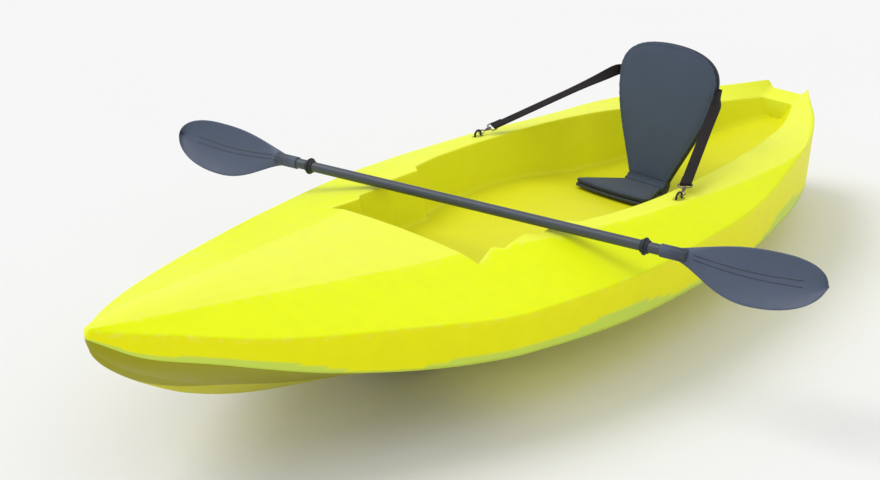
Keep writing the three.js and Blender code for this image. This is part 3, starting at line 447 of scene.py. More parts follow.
# ---- Finishes ----
class Wiring:
    """Short words for a node tree."""

    def __init__(self, tree):
        self.tree = tree

    def node(self, kind, **values):
        made = self.tree.nodes.new("ShaderNode" + kind)
        for key, value in values.items():
            setattr(made, key, value)
        return made

    def feed(self, socket, value):
        if isinstance(value, bpy.types.NodeSocket):
            self.tree.links.new(value, socket)
        elif value is not None:
            socket.default_value = value

    def math(self, operation, a, b=None, clamp=False):
        made = self.node("Math", operation=operation, use_clamp=clamp)
        self.feed(made.inputs[0], a)
        self.feed(made.inputs[1], b)
        return made.outputs[0]

    def vector(self, operation, a, b=None):
        made = self.node("VectorMath", operation=operation)
        self.feed(made.inputs[0], a)
        self.feed(made.inputs[1], b)
        return made.outputs

    def blend(self, factor, a, b):
        made = self.node("Mix", data_type="RGBA")
        self.feed(made.inputs["Factor"], factor)
        self.feed(made.inputs[6], a)
        self.feed(made.inputs[7], b)
        return made.outputs[2]

    def noise(self, vector, scale, detail=2.0):
        made = self.node("TexNoise")
        self.feed(made.inputs["Vector"], vector)
        self.feed(made.inputs["Scale"], scale)
        self.feed(made.inputs["Detail"], detail)
        return made.outputs["Fac"]

    def ramp(self, value, low, high, to_low=0.0, to_high=1.0):
        made = self.node("MapRange", clamp=True)
        for socket, number in zip(made.inputs, (value, low, high, to_low, to_high)):
            self.feed(socket, number)
        return made.outputs[0]


def node_group(name, inputs, outputs):
    """An empty shader node group; inputs are (name, kind, default) and outputs are (name, kind)."""
    tree = bpy.data.node_groups.new(name, "ShaderNodeTree")
    for label, kind, default in inputs:
        socket = tree.interface.new_socket(label, in_out="INPUT", socket_type="NodeSocket" + kind)
        if default is not None:
            socket.default_value = default
    for label, kind in outputs:
        tree.interface.new_socket(label, in_out="OUTPUT", socket_type="NodeSocket" + kind)
    wiring = Wiring(tree)
    entry = tree.nodes.new("NodeGroupInput").outputs
    leave = tree.nodes.new("NodeGroupOutput").inputs
    return tree, wiring, entry, leave


def make_grain():
    """Fine moulded grain with slow waviness below it."""
    tree, w, entry, leave = node_group(
        "Moulded grain",
        [("Vector", "Vector", None), ("Fine Scale", "Float", 900.0), ("Fine Height", "Float", 0.00006),
         ("Wave Scale", "Float", 60.0), ("Wave Height", "Float", 0.0002)],
        [("Height", "Float"), ("Mottle", "Float")])
    fine = w.noise(entry["Vector"], entry["Fine Scale"], 3.0)
    wave = w.noise(entry["Vector"], entry["Wave Scale"], 1.0)
    height = w.math("ADD", w.math("MULTIPLY", fine, entry["Fine Height"]),
                    w.math("MULTIPLY", wave, entry["Wave Height"]))
    w.feed(leave["Height"], height)
    w.feed(leave["Mottle"], w.math("ADD", w.math("MULTIPLY", fine, 0.4), w.math("MULTIPLY", wave, 0.6)))
    return tree


def make_shade():
    """A colour made a little darker and lighter from place to place."""
    tree, w, entry, leave = node_group(
        "Uneven colour",
        [("Color", "Color", (0.5, 0.5, 0.5, 1)), ("Mask", "Float", 0.5), ("Amount", "Float", 0.1)],
        [("Color", "Color")])
    share = w.math("MULTIPLY", w.math("SUBTRACT", entry["Mask"], 0.5), entry["Amount"])
    scale = w.node("VectorMath", operation="SCALE")
    w.feed(scale.inputs[0], entry["Color"])
    w.feed(scale.inputs["Scale"], w.math("ADD", share, 1.0))
    w.feed(leave["Color"], scale.outputs[0])
    return tree


def make_weave():
    """Plain weave: threads along the vector's X and Y that pass over each other in turn."""
    tree, w, entry, leave = node_group(
        "Plain weave", [("Vector", "Vector", None), ("Pitch", "Float", 0.0012)],
        [("Height", "Float"), ("Thread", "Float")])
    split = w.node("SeparateXYZ")
    w.feed(split.inputs[0], entry["Vector"])
    turn = w.math("DIVIDE", math.pi, entry["Pitch"])
    warp = w.math("SINE", w.math("MULTIPLY", split.outputs["X"], turn))
    weft = w.math("SINE", w.math("MULTIPLY", split.outputs["Y"], turn))
    over = w.math("GREATER_THAN", w.math("MULTIPLY", warp, weft), 0.0)
    warp_height = w.math("MULTIPLY", w.math("ABSOLUTE", warp), over)
    weft_height = w.math("MULTIPLY", w.math("ABSOLUTE", weft), w.math("SUBTRACT", 1.0, over))
    w.feed(leave["Height"], w.math("ADD", warp_height, weft_height))
    w.feed(leave["Thread"], over)
    return tree


def make_wear():
    """Rubbed edges: a mask broken up by noise."""
    tree, w, entry, leave = node_group(
        "Rubbed edges",
        [("Vector", "Vector", None), ("Mask", "Float", 0.0), ("Scale", "Float", 90.0),
         ("Amount", "Float", 0.5)],
        [("Wear", "Float")])
    patches = w.ramp(w.noise(entry["Vector"], entry["Scale"], 6.0), 0.48, 0.68)
    rubbed = w.math("MULTIPLY", w.math("MULTIPLY", patches, entry["Mask"]), entry["Amount"], clamp=True)
    w.feed(leave["Wear"], rubbed)
    return tree


class Finish:
    """A material under construction: a Principled shader, its coordinates and the shared effects."""

    groups = {}

    def __init__(self, name, roughness, metallic=0.0, **constants):
        self.material = bpy.data.materials.new(name)
        self.material.use_nodes = True
        tree = self.material.node_tree
        self.w = Wiring(tree)
        self.shader = tree.nodes["Principled BSDF"]
        self.shader.inputs["Roughness"].default_value = roughness
        self.shader.inputs["Metallic"].default_value = metallic
        for label, value in constants.items():
            self.shader.inputs[label.replace("_", " ").title().replace("Ior", "IOR")].default_value = value
        self.coordinates = self.w.node("TexCoord")
        self.place = self.coordinates.outputs["Object"]

    def effect(self, name, **values):
        makers = {"grain": make_grain, "shade": make_shade, "weave": make_weave, "wear": make_wear}
        if name not in self.groups:
            self.groups[name] = makers[name]()
        made = self.w.node("Group", node_tree=self.groups[name])
        for label, value in values.items():
            self.w.feed(made.inputs[label.replace("_", " ").title()], value)
        return made.outputs

    def bump(self, height, strength=1.0, distance=1.0):
        made = self.w.node("Bump")
        made.inputs["Strength"].default_value = strength
        made.inputs["Distance"].default_value = distance
        self.w.feed(made.inputs["Height"], height)
        self.w.feed(self.shader.inputs["Normal"], made.outputs[0])

    def colour(self, value):
        self.w.feed(self.shader.inputs["Base Color"], value)

    def shaded(self, colour, mask, amount):
        """Base colour made uneven by a mask."""
        self.colour(self.effect("shade", color=colour, mask=mask, amount=amount)["Color"])

    def painted(self, grain, uneven, rubbed, scale, amount):
        """The mesh's tint, uneven and rubbed where its alpha says so: the colour and the wear."""
        tint = self.w.node("Attribute", attribute_name="tint").outputs
        even = self.effect("shade", color=tint["Color"], mask=grain["Mottle"], amount=uneven)["Color"]
        wear = self.effect("wear", vector=self.place, mask=tint["Alpha"], scale=scale, amount=amount)["Wear"]
        return self.w.blend(wear, even, rubbed), wear

    def rough(self, value):
        self.w.feed(self.shader.inputs["Roughness"], value)

    def mottled(self, grain, low, high):
        """A number that runs between two values with the grain's mottle."""
        MOTTLE_LOW, MOTTLE_HIGH = 0.3, 0.7
        return self.w.ramp(grain["Mottle"], MOTTLE_LOW, MOTTLE_HIGH, low, high)


def opaque(colour):
    return (*colour, 1.0)


def hull_finish(eye_places):
    """Rotomoulded polyethylene: the zone's colour with its painted light and shade, rubbed edges, and a
    painted shadow at the foot of each eye.
    """
    f = Finish("moulded polyethylene", 0.48, specular_ior_level=0.14)
    w = f.w
    grain = f.effect("grain", vector=f.place, fine_scale=420.0, fine_height=0.00005,
                     wave_scale=26.0, wave_height=0.00035)
    worn, wear = f.painted(grain, 0.10, (0.93, 0.95, 0.42, 1), scale=70.0, amount=0.12)
    # Painted shadow: a darker olive oval on the deck round the foot of each eye.
    EYE_SHADOW_REACH = (0.019, 0.0105, 0.05)
    EYE_SHADOW_STRENGTH, EYE_SHADOW_COLOUR = 0.62, (0.24, 0.25, 0.012, 1)
    for place in eye_places:
        offset = w.vector("SUBTRACT", f.place, place)["Vector"]
        reach = w.vector("LENGTH", w.vector("DIVIDE", offset, EYE_SHADOW_REACH)["Vector"])["Value"]
        shaded = w.ramp(reach, 0.9, 1.05, EYE_SHADOW_STRENGTH, 0.0)
        worn = w.blend(shaded, worn, EYE_SHADOW_COLOUR)
    f.colour(worn)
    scuff = w.math("MULTIPLY", wear, 0.3)
    f.rough(w.math("ADD", f.mottled(grain, 0.38, 0.50), scuff))
    f.bump(grain["Height"], 0.6)
    return f.material


def fabric_finish(name, colour, lean=0.0, pitch=0.0013, across_y=True):
    """Coated polyester: a plain weave that runs with the panel, slightly uneven in colour."""
    f = Finish(name, 0.82, sheen_weight=0.08, specular_ior_level=0.15)
    turn = f.w.node("Mapping")
    turn.inputs["Rotation"].default_value = (0, lean, 0)
    f.w.feed(turn.inputs["Vector"], f.place)
    swap = f.w.node("SeparateXYZ")
    f.w.feed(swap.inputs[0], turn.outputs[0])
    threads = f.w.node("CombineXYZ")
    f.w.feed(threads.inputs["X"], swap.outputs["Y" if across_y else "X"])
    f.w.feed(threads.inputs["Y"], swap.outputs["Z" if across_y else "Y"])
    weave = f.effect("weave", vector=threads.outputs[0], pitch=pitch)
    grain = f.effect("grain", vector=f.place, fine_scale=260.0, wave_scale=18.0)
    mask = f.w.math("ADD", f.w.math("MULTIPLY", weave["Thread"], 0.35),
                    f.w.math("MULTIPLY", grain["Mottle"], 0.65))
    f.shaded(opaque(colour), mask, 0.30)
    f.rough(f.w.ramp(weave["Height"], 0.0, 1.0, 0.86, 0.72))
    f.bump(weave["Height"], 0.35, 0.0003)
    return f.material


def webbing_finish(colour):
    """Woven polyester webbing: a coarse weave that follows the strap."""
    f = Finish("woven webbing", 0.85, sheen_weight=0.04, specular_ior_level=0.12)
    weave = f.effect("weave", vector=f.coordinates.outputs["UV"], pitch=0.0018)
    grain = f.effect("grain", vector=f.place, fine_scale=500.0, wave_scale=40.0)
    f.shaded(opaque(colour), weave["Height"], 0.9)
    f.rough(f.mottled(grain, 0.72, 0.88))
    f.bump(weave["Height"], 0.7, 0.0004)
    return f.material


def plastic_finish(name, colour, roughness=0.5, fine=900.0):
    """Moulded plastic with a fine grain."""
    f = Finish(name, roughness, specular_ior_level=0.4)
    grain = f.effect("grain", vector=f.place, fine_scale=fine, wave_scale=35.0)
    f.shaded(opaque(colour), grain["Mottle"], 0.16)
    f.rough(f.mottled(grain, roughness - 0.06, roughness + 0.08))
    f.bump(grain["Height"], 0.5)
    return f.material


def tinted_finish(name, roughness):
    """Moulded plastic whose colour is painted on the mesh, painted shade included, with rubbed edges."""
    f = Finish(name, roughness, specular_ior_level=0.4)
    grain = f.effect("grain", vector=f.place, fine_scale=700.0, fine_height=0.00005, wave_scale=30.0)
    f.colour(f.painted(grain, 0.16, (0.20, 0.23, 0.29, 1), scale=110.0, amount=0.35)[0])
    f.rough(f.mottled(grain, roughness - 0.05, roughness + 0.1))
    f.bump(grain["Height"], 0.5)
    return f.material


def metal_finish(name, colour, roughness=0.32):
    """Die-cast or drawn metal: fine scratches and duller patches."""
    f = Finish(name, roughness, metallic=1.0)
    grain = f.effect("grain", vector=f.place, fine_scale=1600.0, fine_height=0.00003, wave_scale=160.0)
    f.shaded(opaque(colour), grain["Mottle"], 0.35)
    f.rough(f.mottled(grain, roughness - 0.08, roughness + 0.14))
    f.bump(grain["Height"], 0.4)
    return f.material


def foam_finish():
    """Closed-cell foam: rounded beads."""
    f = Finish("closed-cell foam", 0.9)
    cells = f.w.node("TexVoronoi")
    cells.inputs["Scale"].default_value = 260.0
    f.w.feed(cells.inputs["Vector"], f.place)
    f.shaded((0.78, 0.78, 0.74, 1), cells.outputs["Distance"], 0.3)
    f.bump(cells.outputs["Distance"], 0.5, 0.001)
    return f.material


# ---- Hull ----
def drawn(*points):
    """A line that a class holds."""
    return staticmethod(line(points))


class HullLines:
    """The kayak's lines. Stations run from 1 at the stem to -1 at the transom; half-breadths are
    shares of half the beam and heights are shares of the gunwale's height amidships."""

    gunwale_breadth = drawn(
        (1, 0.02), (0.9, 0.218), (0.757, 0.457), (0.537, 0.712), (0.3175, 0.911), (0.025, 1),
        (-0.268, 0.95), (-0.561, 0.765), (-0.762, 0.565), (-0.872, 0.4), (-0.94, 0.27), (-1, 0.155))
    gunwale_rise = drawn(
        (1, 1.4), (0.9, 1.335), (0.757, 1.215), (0.537, 1.1), (0.3175, 1.008), (0, 1),
        (-0.41, 1.003), (-0.671, 1.075), (-0.872, 1.075), (-1, 1.03))
    keel_rise = drawn(
        (1, 1.3), (0.992, 1.2), (0.96, 1.03), (0.885, 0.777), (0.805, 0.57), (0.698, 0.384),
        (0.583, 0.25), (0.448, 0.13), (0.3, 0.02), (0.2, 0), (-0.7, 0), (-0.85, 0.04), (-1, 0.17))
    seam_rise = drawn(
        (1, 1.34), (0.93, 1.16), (0.84, 1.058), (0.656, 0.826), (0.47, 0.675), (0.2, 0.587),
        (-0.26, 0.52), (-1, 0.42))
    ridge_breadth = drawn(
        (1, 0.012), (0.93, 0.07), (0.786, 0.149), (0.491, 0.303), (0.345, 0.375), (0.24, 0.45),
        (0.1, 0.62), (-0.122, 0.722), (-0.3, 0.742), (-0.561, 0.718), (-0.671, 0.662),
        (-0.762, 0.545), (-0.872, 0.375), (-0.94, 0.25), (-1, 0.135))
    ridge_rise = drawn(
        (1, 1.425), (0.93, 1.417), (0.786, 1.368), (0.491, 1.264), (0.345, 1.218), (0.1, 1.212),
        (-0.122, 1.19), (-0.3, 1.14), (-0.561, 1.087), (-0.762, 1.08), (-0.872, 1.09), (-1, 1.14))
    crown_rise = drawn(
        (1, 1.425), (0.93, 1.43), (0.786, 1.4), (0.491, 1.29), (0.3, 1.24), (0.1, 1.232),
        (-0.16, 1.19), (-0.341, 1.17), (-0.534, 1.132), (-0.68, 1.074), (-0.826, 1.0),
        (-0.95, 0.99), (-1, 1.065))
    # The bottom, in shares of the seam's half-breadth and of its height above the keel.
    flat_breadth = drawn(
        (1, 0.3), (0.75, 0.26), (0.5, 0.28), (0.3, 0.22), (-0.6, 0.26), (-1, 0.4))
    flat_rise = drawn(
        (1, 0.3), (0.75, 0.3), (0.5, 0.32), (0.3, 0.05), (0.2, 0), (-0.7, 0), (-1, 0.06))
    bilge_breadth = drawn(
        (1, 0.9), (0.75, 0.55), (0.5, 0.5), (0.3, 0.45), (-0.6, 0.5), (-1, 0.8))
    bilge_rise = drawn(
        (1, 0.5), (0.75, 0.6), (0.5, 0.58), (0.3, 0.35), (0.2, 0.28), (-0.7, 0.25), (-1, 0.25))
    # The well's half-breadth at its edge and its floor's height, in metres, over metres from mid-length.
    edge_line = drawn(
        (0.34, 0.211), (0.245, 0.206), (0.153, 0.214), (0.046, 0.232), (-0.06, 0.249), (-0.183, 0.254),
        (-0.343, 0.247), (-0.503, 0.229), (-0.663, 0.193), (-0.823, 0.142), (-0.983, 0.076), (-1.04, 0.046))
    floor_line = drawn(
        (0.34, 0.168), (0.2, 0.182), (0, 0.187), (-0.133, 0.186), (-0.25, 0.181), (-0.35, 0.169),
        (-0.48, 0.149), (-0.6, 0.146), (-0.75, 0.158), (-0.9, 0.174), (-1.04, 0.194))
    FOOTREST_PLACES = (0.261, 0.169, 0.062)
    SEAM_FLARE = 0.95         # the seam's half-breadth as a share of the gunwale's
    PANEL_SHARE = 0.5         # where the foredeck's panel is bent, as a share of the ridge's breadth
    PANEL_LIFT = 0.75         # its height there, from the ridge's up to the crown's

    def __init__(self, sizes):
        self.sizes = sizes
        self.half_length = sizes.length / 2
        self.half_beam = sizes.beam / 2
        self.height = sizes.gunwale_height
        self.well_end = sizes.well_margin - self.half_length

    def seam(self, x):
        s = x / self.half_length
        half_breadth = self.gunwale_breadth(s) * self.half_beam * self.SEAM_FLARE
        return Vector((x, half_breadth, self.seam_rise(s) * self.height))

    def slope_points(self, x):
        """Gunwale, ridge, the panel's bend and the crown, as (half-breadth, height)."""
        s = x / self.half_length
        gunwale = (self.gunwale_breadth(s) * self.half_beam, self.gunwale_rise(s) * self.height)
        ridge = (self.ridge_breadth(s) * self.half_beam, self.ridge_rise(s) * self.height)
        crown = self.crown_rise(s) * self.height
        opened = smoothstep(-x, -self.sizes.well_front, 0)
        INSIDE_RIDGE = 0.004
        bend = (min(mixed(ridge[0] * self.PANEL_SHARE, self.edge_line(x), opened), ridge[0] - INSIDE_RIDGE),
                mixed(mixed(ridge[1], crown, self.PANEL_LIFT), crown, opened))
        return [gunwale, ridge, bend, (0.0, crown)]

    def deck_height(self, x, y):
        points = self.slope_points(x)
        for (y0, z0), (y1, z1) in zip(points, points[1:]):
            if y0 >= y >= y1 and y0 > y1:
                return z0 + (z1 - z0) * (y0 - y) / (y0 - y1)
        return points[-1][1]

    def footrest(self, x):
        """How far the footrests stand in at x, from 0 to 1, in steps that face aft."""
        ahead = self.sizes.well_front
        run = self.sizes.footrest_run
        for place in self.FOOTREST_PLACES:
            if place <= x < ahead:
                return (ahead - x) / (ahead - place)
            if place - run < x < place:
                return 1 - (place - x) / run
            ahead = place - run
        return 0.0

    def well_edge(self, x):
        """Half-breadth of the well's edge; the footrests' corners are eased over a short length."""
        SAMPLES, EASED_OVER = 4, 0.005
        offsets = [EASED_OVER * k / SAMPLES for k in range(-SAMPLES, SAMPLES + 1)]
        reach = sum(self.footrest(x + offset) for offset in offsets) / len(offsets)
        return self.edge_line(x) - reach * self.sizes.footrest_reach


def rounded_row(points, radii, spans, arc_steps):
    """Points along a bent line whose corners are rounded; each straight part has its own number of spans.

    Returns the points and, for each, its place: the number of the straight part, how far along it, and
    whether it lies on a rounded corner.
    """
    lengths = [math.dist(a, b) for a, b in zip(points, points[1:])]
    cuts = [0.0, *[min(r, 0.45 * a, 0.45 * b) for r, a, b in zip(radii, lengths, lengths[1:])], 0.0]
    row, marks = [], []

    def toward(a, b, reach):
        whole = math.dist(a, b) or 1.0
        return [a[k] + (b[k] - a[k]) * reach / whole for k in (0, 1)]

    for i, (a, b) in enumerate(zip(points, points[1:])):
        start = toward(a, b, cuts[i])
        end = toward(b, a, cuts[i + 1])
        for k in range(spans[i]):
            row.append([mixed(start[n], end[n], k / spans[i]) for n in (0, 1)])
            marks.append((i, k / spans[i], False))
        if i + 1 < len(lengths):
            leave = toward(points[i + 1], points[i + 2], cuts[i + 1])
            for k in range(arc_steps):
                t = k / arc_steps
                r = 1 - t
                row.append([end[n] * r * r + 2 * b[n] * r * t + leave[n] * t * t for n in (0, 1)])
                marks.append((i + round(t), 0.0, True))
        else:
            row.append(list(b))
            marks.append((i, 1.0, False))
    return row, marks


# Closed ends: how the rows gather towards a point, with their share of the breadth and of the end's rounding.
TRANSOM_ROUND = 0.006
TRANSOM_GATHER = ((1.0, 0.0), (0.985, 0.45), (0.955, 0.8), (0.91, 1.0), (0.7, 1.0), (0.4, 1.0), (0.0, 1.0))
STEM_ROUND = 0.006
STEM_GATHER = ((0.0, 1.0), (0.45, 0.93), (0.75, 0.7), (0.93, 0.35), (1.0, 0.0))


def hull_columns(lines):
    """(x, gather) for each column of the hull's skin, from the stem to the transom."""
    front, end = lines.sizes.well_front, lines.well_end
    stem = lines.half_length
    columns = [(stem - STEM_ROUND * (1 - reach), share) for share, reach in STEM_GATHER[:-1]]
    stations = [*spread(stem - STEM_ROUND, stem - 0.06, 12), *spread(stem - 0.06, front + 0.02, 60),
                *spread(front + 0.02, front + 0.002, 5), front + 0.001, front - 0.0005, front - 0.003]
    stations += spread(front - 0.005, 0.03, 110)
    stations += spread(0.03, end + 0.01, 105)
    stations += [end + 0.006, end + 0.003, end + 0.0005, end - 0.0015]
    stations += spread(end - 0.004, TRANSOM_ROUND - stem, 8)
    columns += [(x, 1.0) for x in stations]
    columns += [(TRANSOM_ROUND * (1 - reach) - stem, share) for share, reach in TRANSOM_GATHER]
    return columns


def gathered(row, x, share, lines):
    """A row drawn in towards the middle of its seam, for the closed ends."""
    middle = Vector((x, 0, lines.seam(x).z))
    return [middle + (Vector((x, y, z)) - middle) * share for y, z in row]


def deck_row(lines, x):
    """Half of the deck's section, from the seam over the ridge, then down the well or over the crown."""
    sizes = lines.sizes
    seam = lines.seam(x)
    gunwale, ridge, bend, crown = lines.slope_points(x)
    SPANS, ARC = (12, 10, 9, 12, 8), 5
    LEAST_FLOOR, LEAST_RIM = 0.012, 0.008
    BEND_ROUND, CROWN_ROUND = 0.03, 0.002
    if lines.well_end < x < sizes.well_front:
        edge = lines.well_edge(x)
        top = (edge, lines.deck_height(x, edge))
        floor = lines.floor_line(x)
        foot = max(edge - sizes.wall_draft, LEAST_FLOOR)
        rim = edge + LEAST_RIM
        shoulder = ridge if ridge[0] > rim else (rim, lines.deck_height(x, rim))
        points = [(seam.y, seam.z), gunwale, shoulder, top, (foot, floor), (0.0, floor)]
        radii = (sizes.gunwale_round, sizes.ridge_round, sizes.rim_round, sizes.floor_round)
        return rounded_row(points, radii, SPANS, ARC)
    half_way = (bend[0] * 0.5, mixed(bend[1], crown[1], 0.5))
    points = [(seam.y, seam.z), gunwale, ridge, bend, half_way, crown]
    radii = (sizes.gunwale_round, sizes.ridge_round, BEND_ROUND, CROWN_ROUND)
    return rounded_row(points, radii, SPANS, ARC)


def glint_reach(x):
    """How far up the side the ground's greenish reflection comes, as a share of the band."""
    HIGHEST, STARTS, FULL_FROM = 0.42, -0.95, -0.55
    wave = 0.5 + 0.28 * math.sin(7.0 * x + 0.6) + 0.22 * math.sin(17.0 * x)
    return HIGHEST * wave * smoothstep(x, STARTS, FULL_FROM)


def deck_tint(sizes, x, mark, in_well):
    """Colour of a point of the deck by the part of the section it lies on, which paints light and shade on
    the facets and a painted reflection low on the sides; alpha is where edges rub.
    """
    inner = (sizes.well_wall_shade, sizes.floor) if in_well else (sizes.panel, sizes.panel)
    zones = (sizes.band, sizes.deck, sizes.panel, *inner)
    part, share, cornered = mark
    colour = Vector(zones[part])
    if part == 0 and not cornered and share < glint_reach(x):
        colour = Vector(sizes.glint)
    RUBBED_PARTS = 3
    return (*colour, 1.0 if cornered and part < RUBBED_PARTS else 0.12)


def bottom_row(lines, x):
    """Half of the bottom's section, from the keel over the bilge up to the seam, and its points' numbers."""
    s = x / lines.half_length
    seam = lines.seam(x)
    keel = lines.keel_rise(s) * lines.height
    drop = seam.z - keel
    chine = (seam.y * lines.flat_breadth(s), keel + drop * lines.flat_rise(s))
    corner = (seam.y * lines.bilge_breadth(s), keel + drop * lines.bilge_rise(s))
    FLAT_SPANS, BILGE_SPANS = 10, 22
    row = [[mixed(0, chine[0], k / FLAT_SPANS), mixed(keel, chine[1], k / FLAT_SPANS)]
           for k in range(FLAT_SPANS)]
    for k in range(BILGE_SPANS + 1):
        t = k / BILGE_SPANS
        row.append([chine[n] * (1 - t) ** 2 + corner[n] * 2 * t * (1 - t) + (seam.y, seam.z)[n] * t * t
                    for n in (0, 1)])
    return row, range(len(row))


def hull_skin(lines, row_of, tint_of, outward):
    """Both halves of a shell's skin as an open mesh whose faces point outwards."""
    rows, tints = [], []
    for x, share in hull_columns(lines):
        row, marks = row_of(lines, x)
        rows.append(gathered(row, x, share, lines))
        tints.append([tint_of(x, mark) for mark in marks])
    bm = loft(rows, layer=("tint", tints))
    bmesh.ops.mirror(bm, geom=bm.verts[:] + bm.edges[:] + bm.faces[:], matrix=Matrix.Identity(4),
                     merge_dist=1e-5, axis="Y")
    bmesh.ops.remove_doubles(bm, verts=bm.verts, dist=1e-5)
    bmesh.ops.recalc_face_normals(bm, faces=bm.faces)
    widest = max(bm.faces, key=lambda face: face.calc_center_median().y)
    if widest.normal.y < 0:
        bmesh.ops.reverse_faces(bm, faces=bm.faces)
    assert outward(bm), "the hull's skin is inside out"
    return bm


def walled(made, thickness):
    """Gives a piece's open skin its wall, inwards."""
    wall = made.modifiers.new("wall", "SOLIDIFY")
    wall.thickness = thickness
    wall.offset = -1
    wall.thickness_clamp = 1.0


def bottom_tint(sizes, x, index):
    """Along the bow the bottom is painted with shade: a darker facet under the seam and a lighter one along
    the keel.
    """
    LIGHTER_POINTS, RUBBED_POINTS = 14, 3
    # Painted shade on the bottom: the bilge's facets darkest, the keel's less dark, blending into the band's
    # colour aft of the bow.
    edge = LIGHTER_POINTS * (1 - smoothstep(x, 0.78, 1.03))
    under = Vector(sizes.bilge).lerp(Vector(sizes.keel), min(max(edge - index, 0.0), 1.0))
    colour = Vector(sizes.band).lerp(under, smoothstep(x, 0.25, 0.45))
    return (*colour, 0.5 if index < RUBBED_POINTS else 0.05)


class KAYAK_OT_hull(bpy.types.Operator):
    """Build the deck shell with its well, and the hull shell below the seam"""

    bl_idname = "kayak.hull"
    bl_label = "Hull"

    def execute(self, context):
        sizes = context.scene.kayak_hull
        rigging = context.scene.kayak_rigging
        lines = HullLines(sizes)
        eyes = [(rigging.eye_place, side * rigging.eye_half_breadth, rigging.eye_height)
                for side in SIDES.values()]
        plastic = hull_finish(eyes)

        def tint_of_deck(x, mark):
            return deck_tint(sizes, x, mark, lines.well_end < x < sizes.well_front)

        deck = hull_skin(lines, deck_row, tint_of_deck,
                         lambda bm: max(bm.verts, key=lambda v: v.co.z).normal.z > 0)
        walled(piece("deck_moulding", deck, plastic, "hull", ["deck_shell"]), sizes.wall)
        bottom = hull_skin(lines, bottom_row, lambda x, mark: bottom_tint(sizes, x, mark),
                           lambda bm: min(bm.verts, key=lambda v: v.co.z).normal.z < 0)
        walled(piece("hull_moulding", bottom, plastic, "hull", ["hull_shell"]), sizes.wall)
        return {"FINISHED"}


# ---- Seat ----
class SeatFrame:
    """Directions of the seat and the backrest from their fold."""

    def __init__(self, sizes):
        self.fold = Vector((sizes.place, 0, sizes.fold_height))
        lean, slope = sizes.recline, sizes.slope
        self.back_up = Vector((-math.sin(lean), 0, math.cos(lean)))
        self.back_front = Vector((math.cos(lean), 0, math.sin(lean)))
        self.seat_forward = Vector((math.cos(slope), 0, math.sin(slope)))
        self.seat_up = Vector((-math.sin(slope), 0, math.cos(slope)))
        self.back = basis(ACROSS, self.back_up, self.back_front, self.fold)
        self.seat = basis(-ACROSS, self.seat_forward, self.seat_up, self.fold)

    def back_point(self, y, height, depth):
        return self.fold + ACROSS * y + self.back_up * height - self.back_front * depth


def mirrored(half, top):
    """Half an outline, its point on the centreline and its other half."""
    return half + [(0.0, top)] + [(-x, y) for x, y in reversed(half)]


def backrest_outline(sizes, start, inset=0.0):
    """The backrest drawn flat, from the fold upwards."""
    wide = sizes.back_half_width - inset
    foot = sizes.back_foot - inset
    top = sizes.back_height - inset
    rise = sizes.back_height
    start += inset
    FLARE, STEPS = 0.030, 22
    widest = (wide, rise * 0.76)
    half = bezier((foot, start), (foot + FLARE, rise * 0.25), (wide, rise * 0.5), widest, STEPS)
    half += bezier(widest, (wide, rise * 0.92), (wide * 0.62, top), (0, top), STEPS)
    return mirrored(half, top)


def seat_outline(sizes, start, inset=0.0):
    """The seat drawn flat, from the fold forwards."""
    CORNER, BOW, STEPS = 0.026, 0.005, 8
    front = sizes.seat_length - inset
    wide = sizes.seat_half_width - inset
    heel = sizes.seat_heel - inset
    start += inset
    shoulder, turn, turned_in = (wide, front - CORNER), (wide + 0.003, front - 0.004), (wide - CORNER, front)
    top = front + BOW
    half = [(mixed(heel, wide, k / STEPS), mixed(start, front - CORNER, k / STEPS)) for k in range(STEPS)]
    half += bezier(shoulder, turn, turn, turned_in, STEPS)
    half += bezier(turned_in, (wide * 0.5, top), (wide * 0.2, top), (0, top), STEPS)
    return mirrored(half, top)


PILLOW_FRAMES = 20
PILLOW_PRESSURE = 4.0
PILLOW_VOXEL = 0.0045


def remeshed(made):
    """Gives a piece an even mesh, for the simulation."""
    remesh = made.modifiers.new("remesh", "REMESH")
    remesh.mode = "VOXEL"
    remesh.voxel_size = PILLOW_VOXEL
    bake(made)


def inflated(made, sizes, near_rim):
    """Swells a flat pad with a cloth simulation. The rim is held, and no point moves past the crown."""
    rest = [vert.co.copy() for vert in made.data.vertices]
    rim = made.vertex_groups.new(name="rim")
    rim.add([i for i, co in enumerate(rest) if near_rim(co)], 1.0, "REPLACE")
    cloth = made.modifiers.new("cloth", "CLOTH")
    cloth.settings.quality = 6
    cloth.settings.use_pressure = True
    cloth.settings.uniform_pressure_force = PILLOW_PRESSURE
    cloth.settings.effector_weights.gravity = 0
    cloth.settings.vertex_group_mass = rim.name
    scene = bpy.context.scene
    cloth.point_cache.frame_start, cloth.point_cache.frame_end = 1, PILLOW_FRAMES
    for number in range(1, PILLOW_FRAMES + 1):
        scene.frame_set(number)
    swollen = made.evaluated_get(bpy.context.evaluated_depsgraph_get()).data
    for vert, start, end in zip(made.data.vertices, rest, swollen.vertices):
        step = end.co - start
        vert.co = start + step * min(1.0, sizes.crown / max(step.length, 1e-9))
    made.modifiers.remove(cloth)
    scene.frame_set(1)


def bake(made):
    """Applies a piece's modifiers to its mesh."""
    made.data = bpy.data.meshes.new_from_object(made.evaluated_get(bpy.context.evaluated_depsgraph_get()))
    made.modifiers.clear()


def outline_tree(outline):
    """Finds how far a point is from an outline."""
    dense = []
    for (x0, y0), (x1, y1) in zip(outline, [*outline[1:], outline[0]]):
        dense += [(mixed(x0, x1, k / 4), mixed(y0, y1, k / 4), 0) for k in range(4)]
    tree = KDTree(len(dense))
    for i, point in enumerate(dense):
        tree.insert(point, i)
    tree.balance()
    return tree


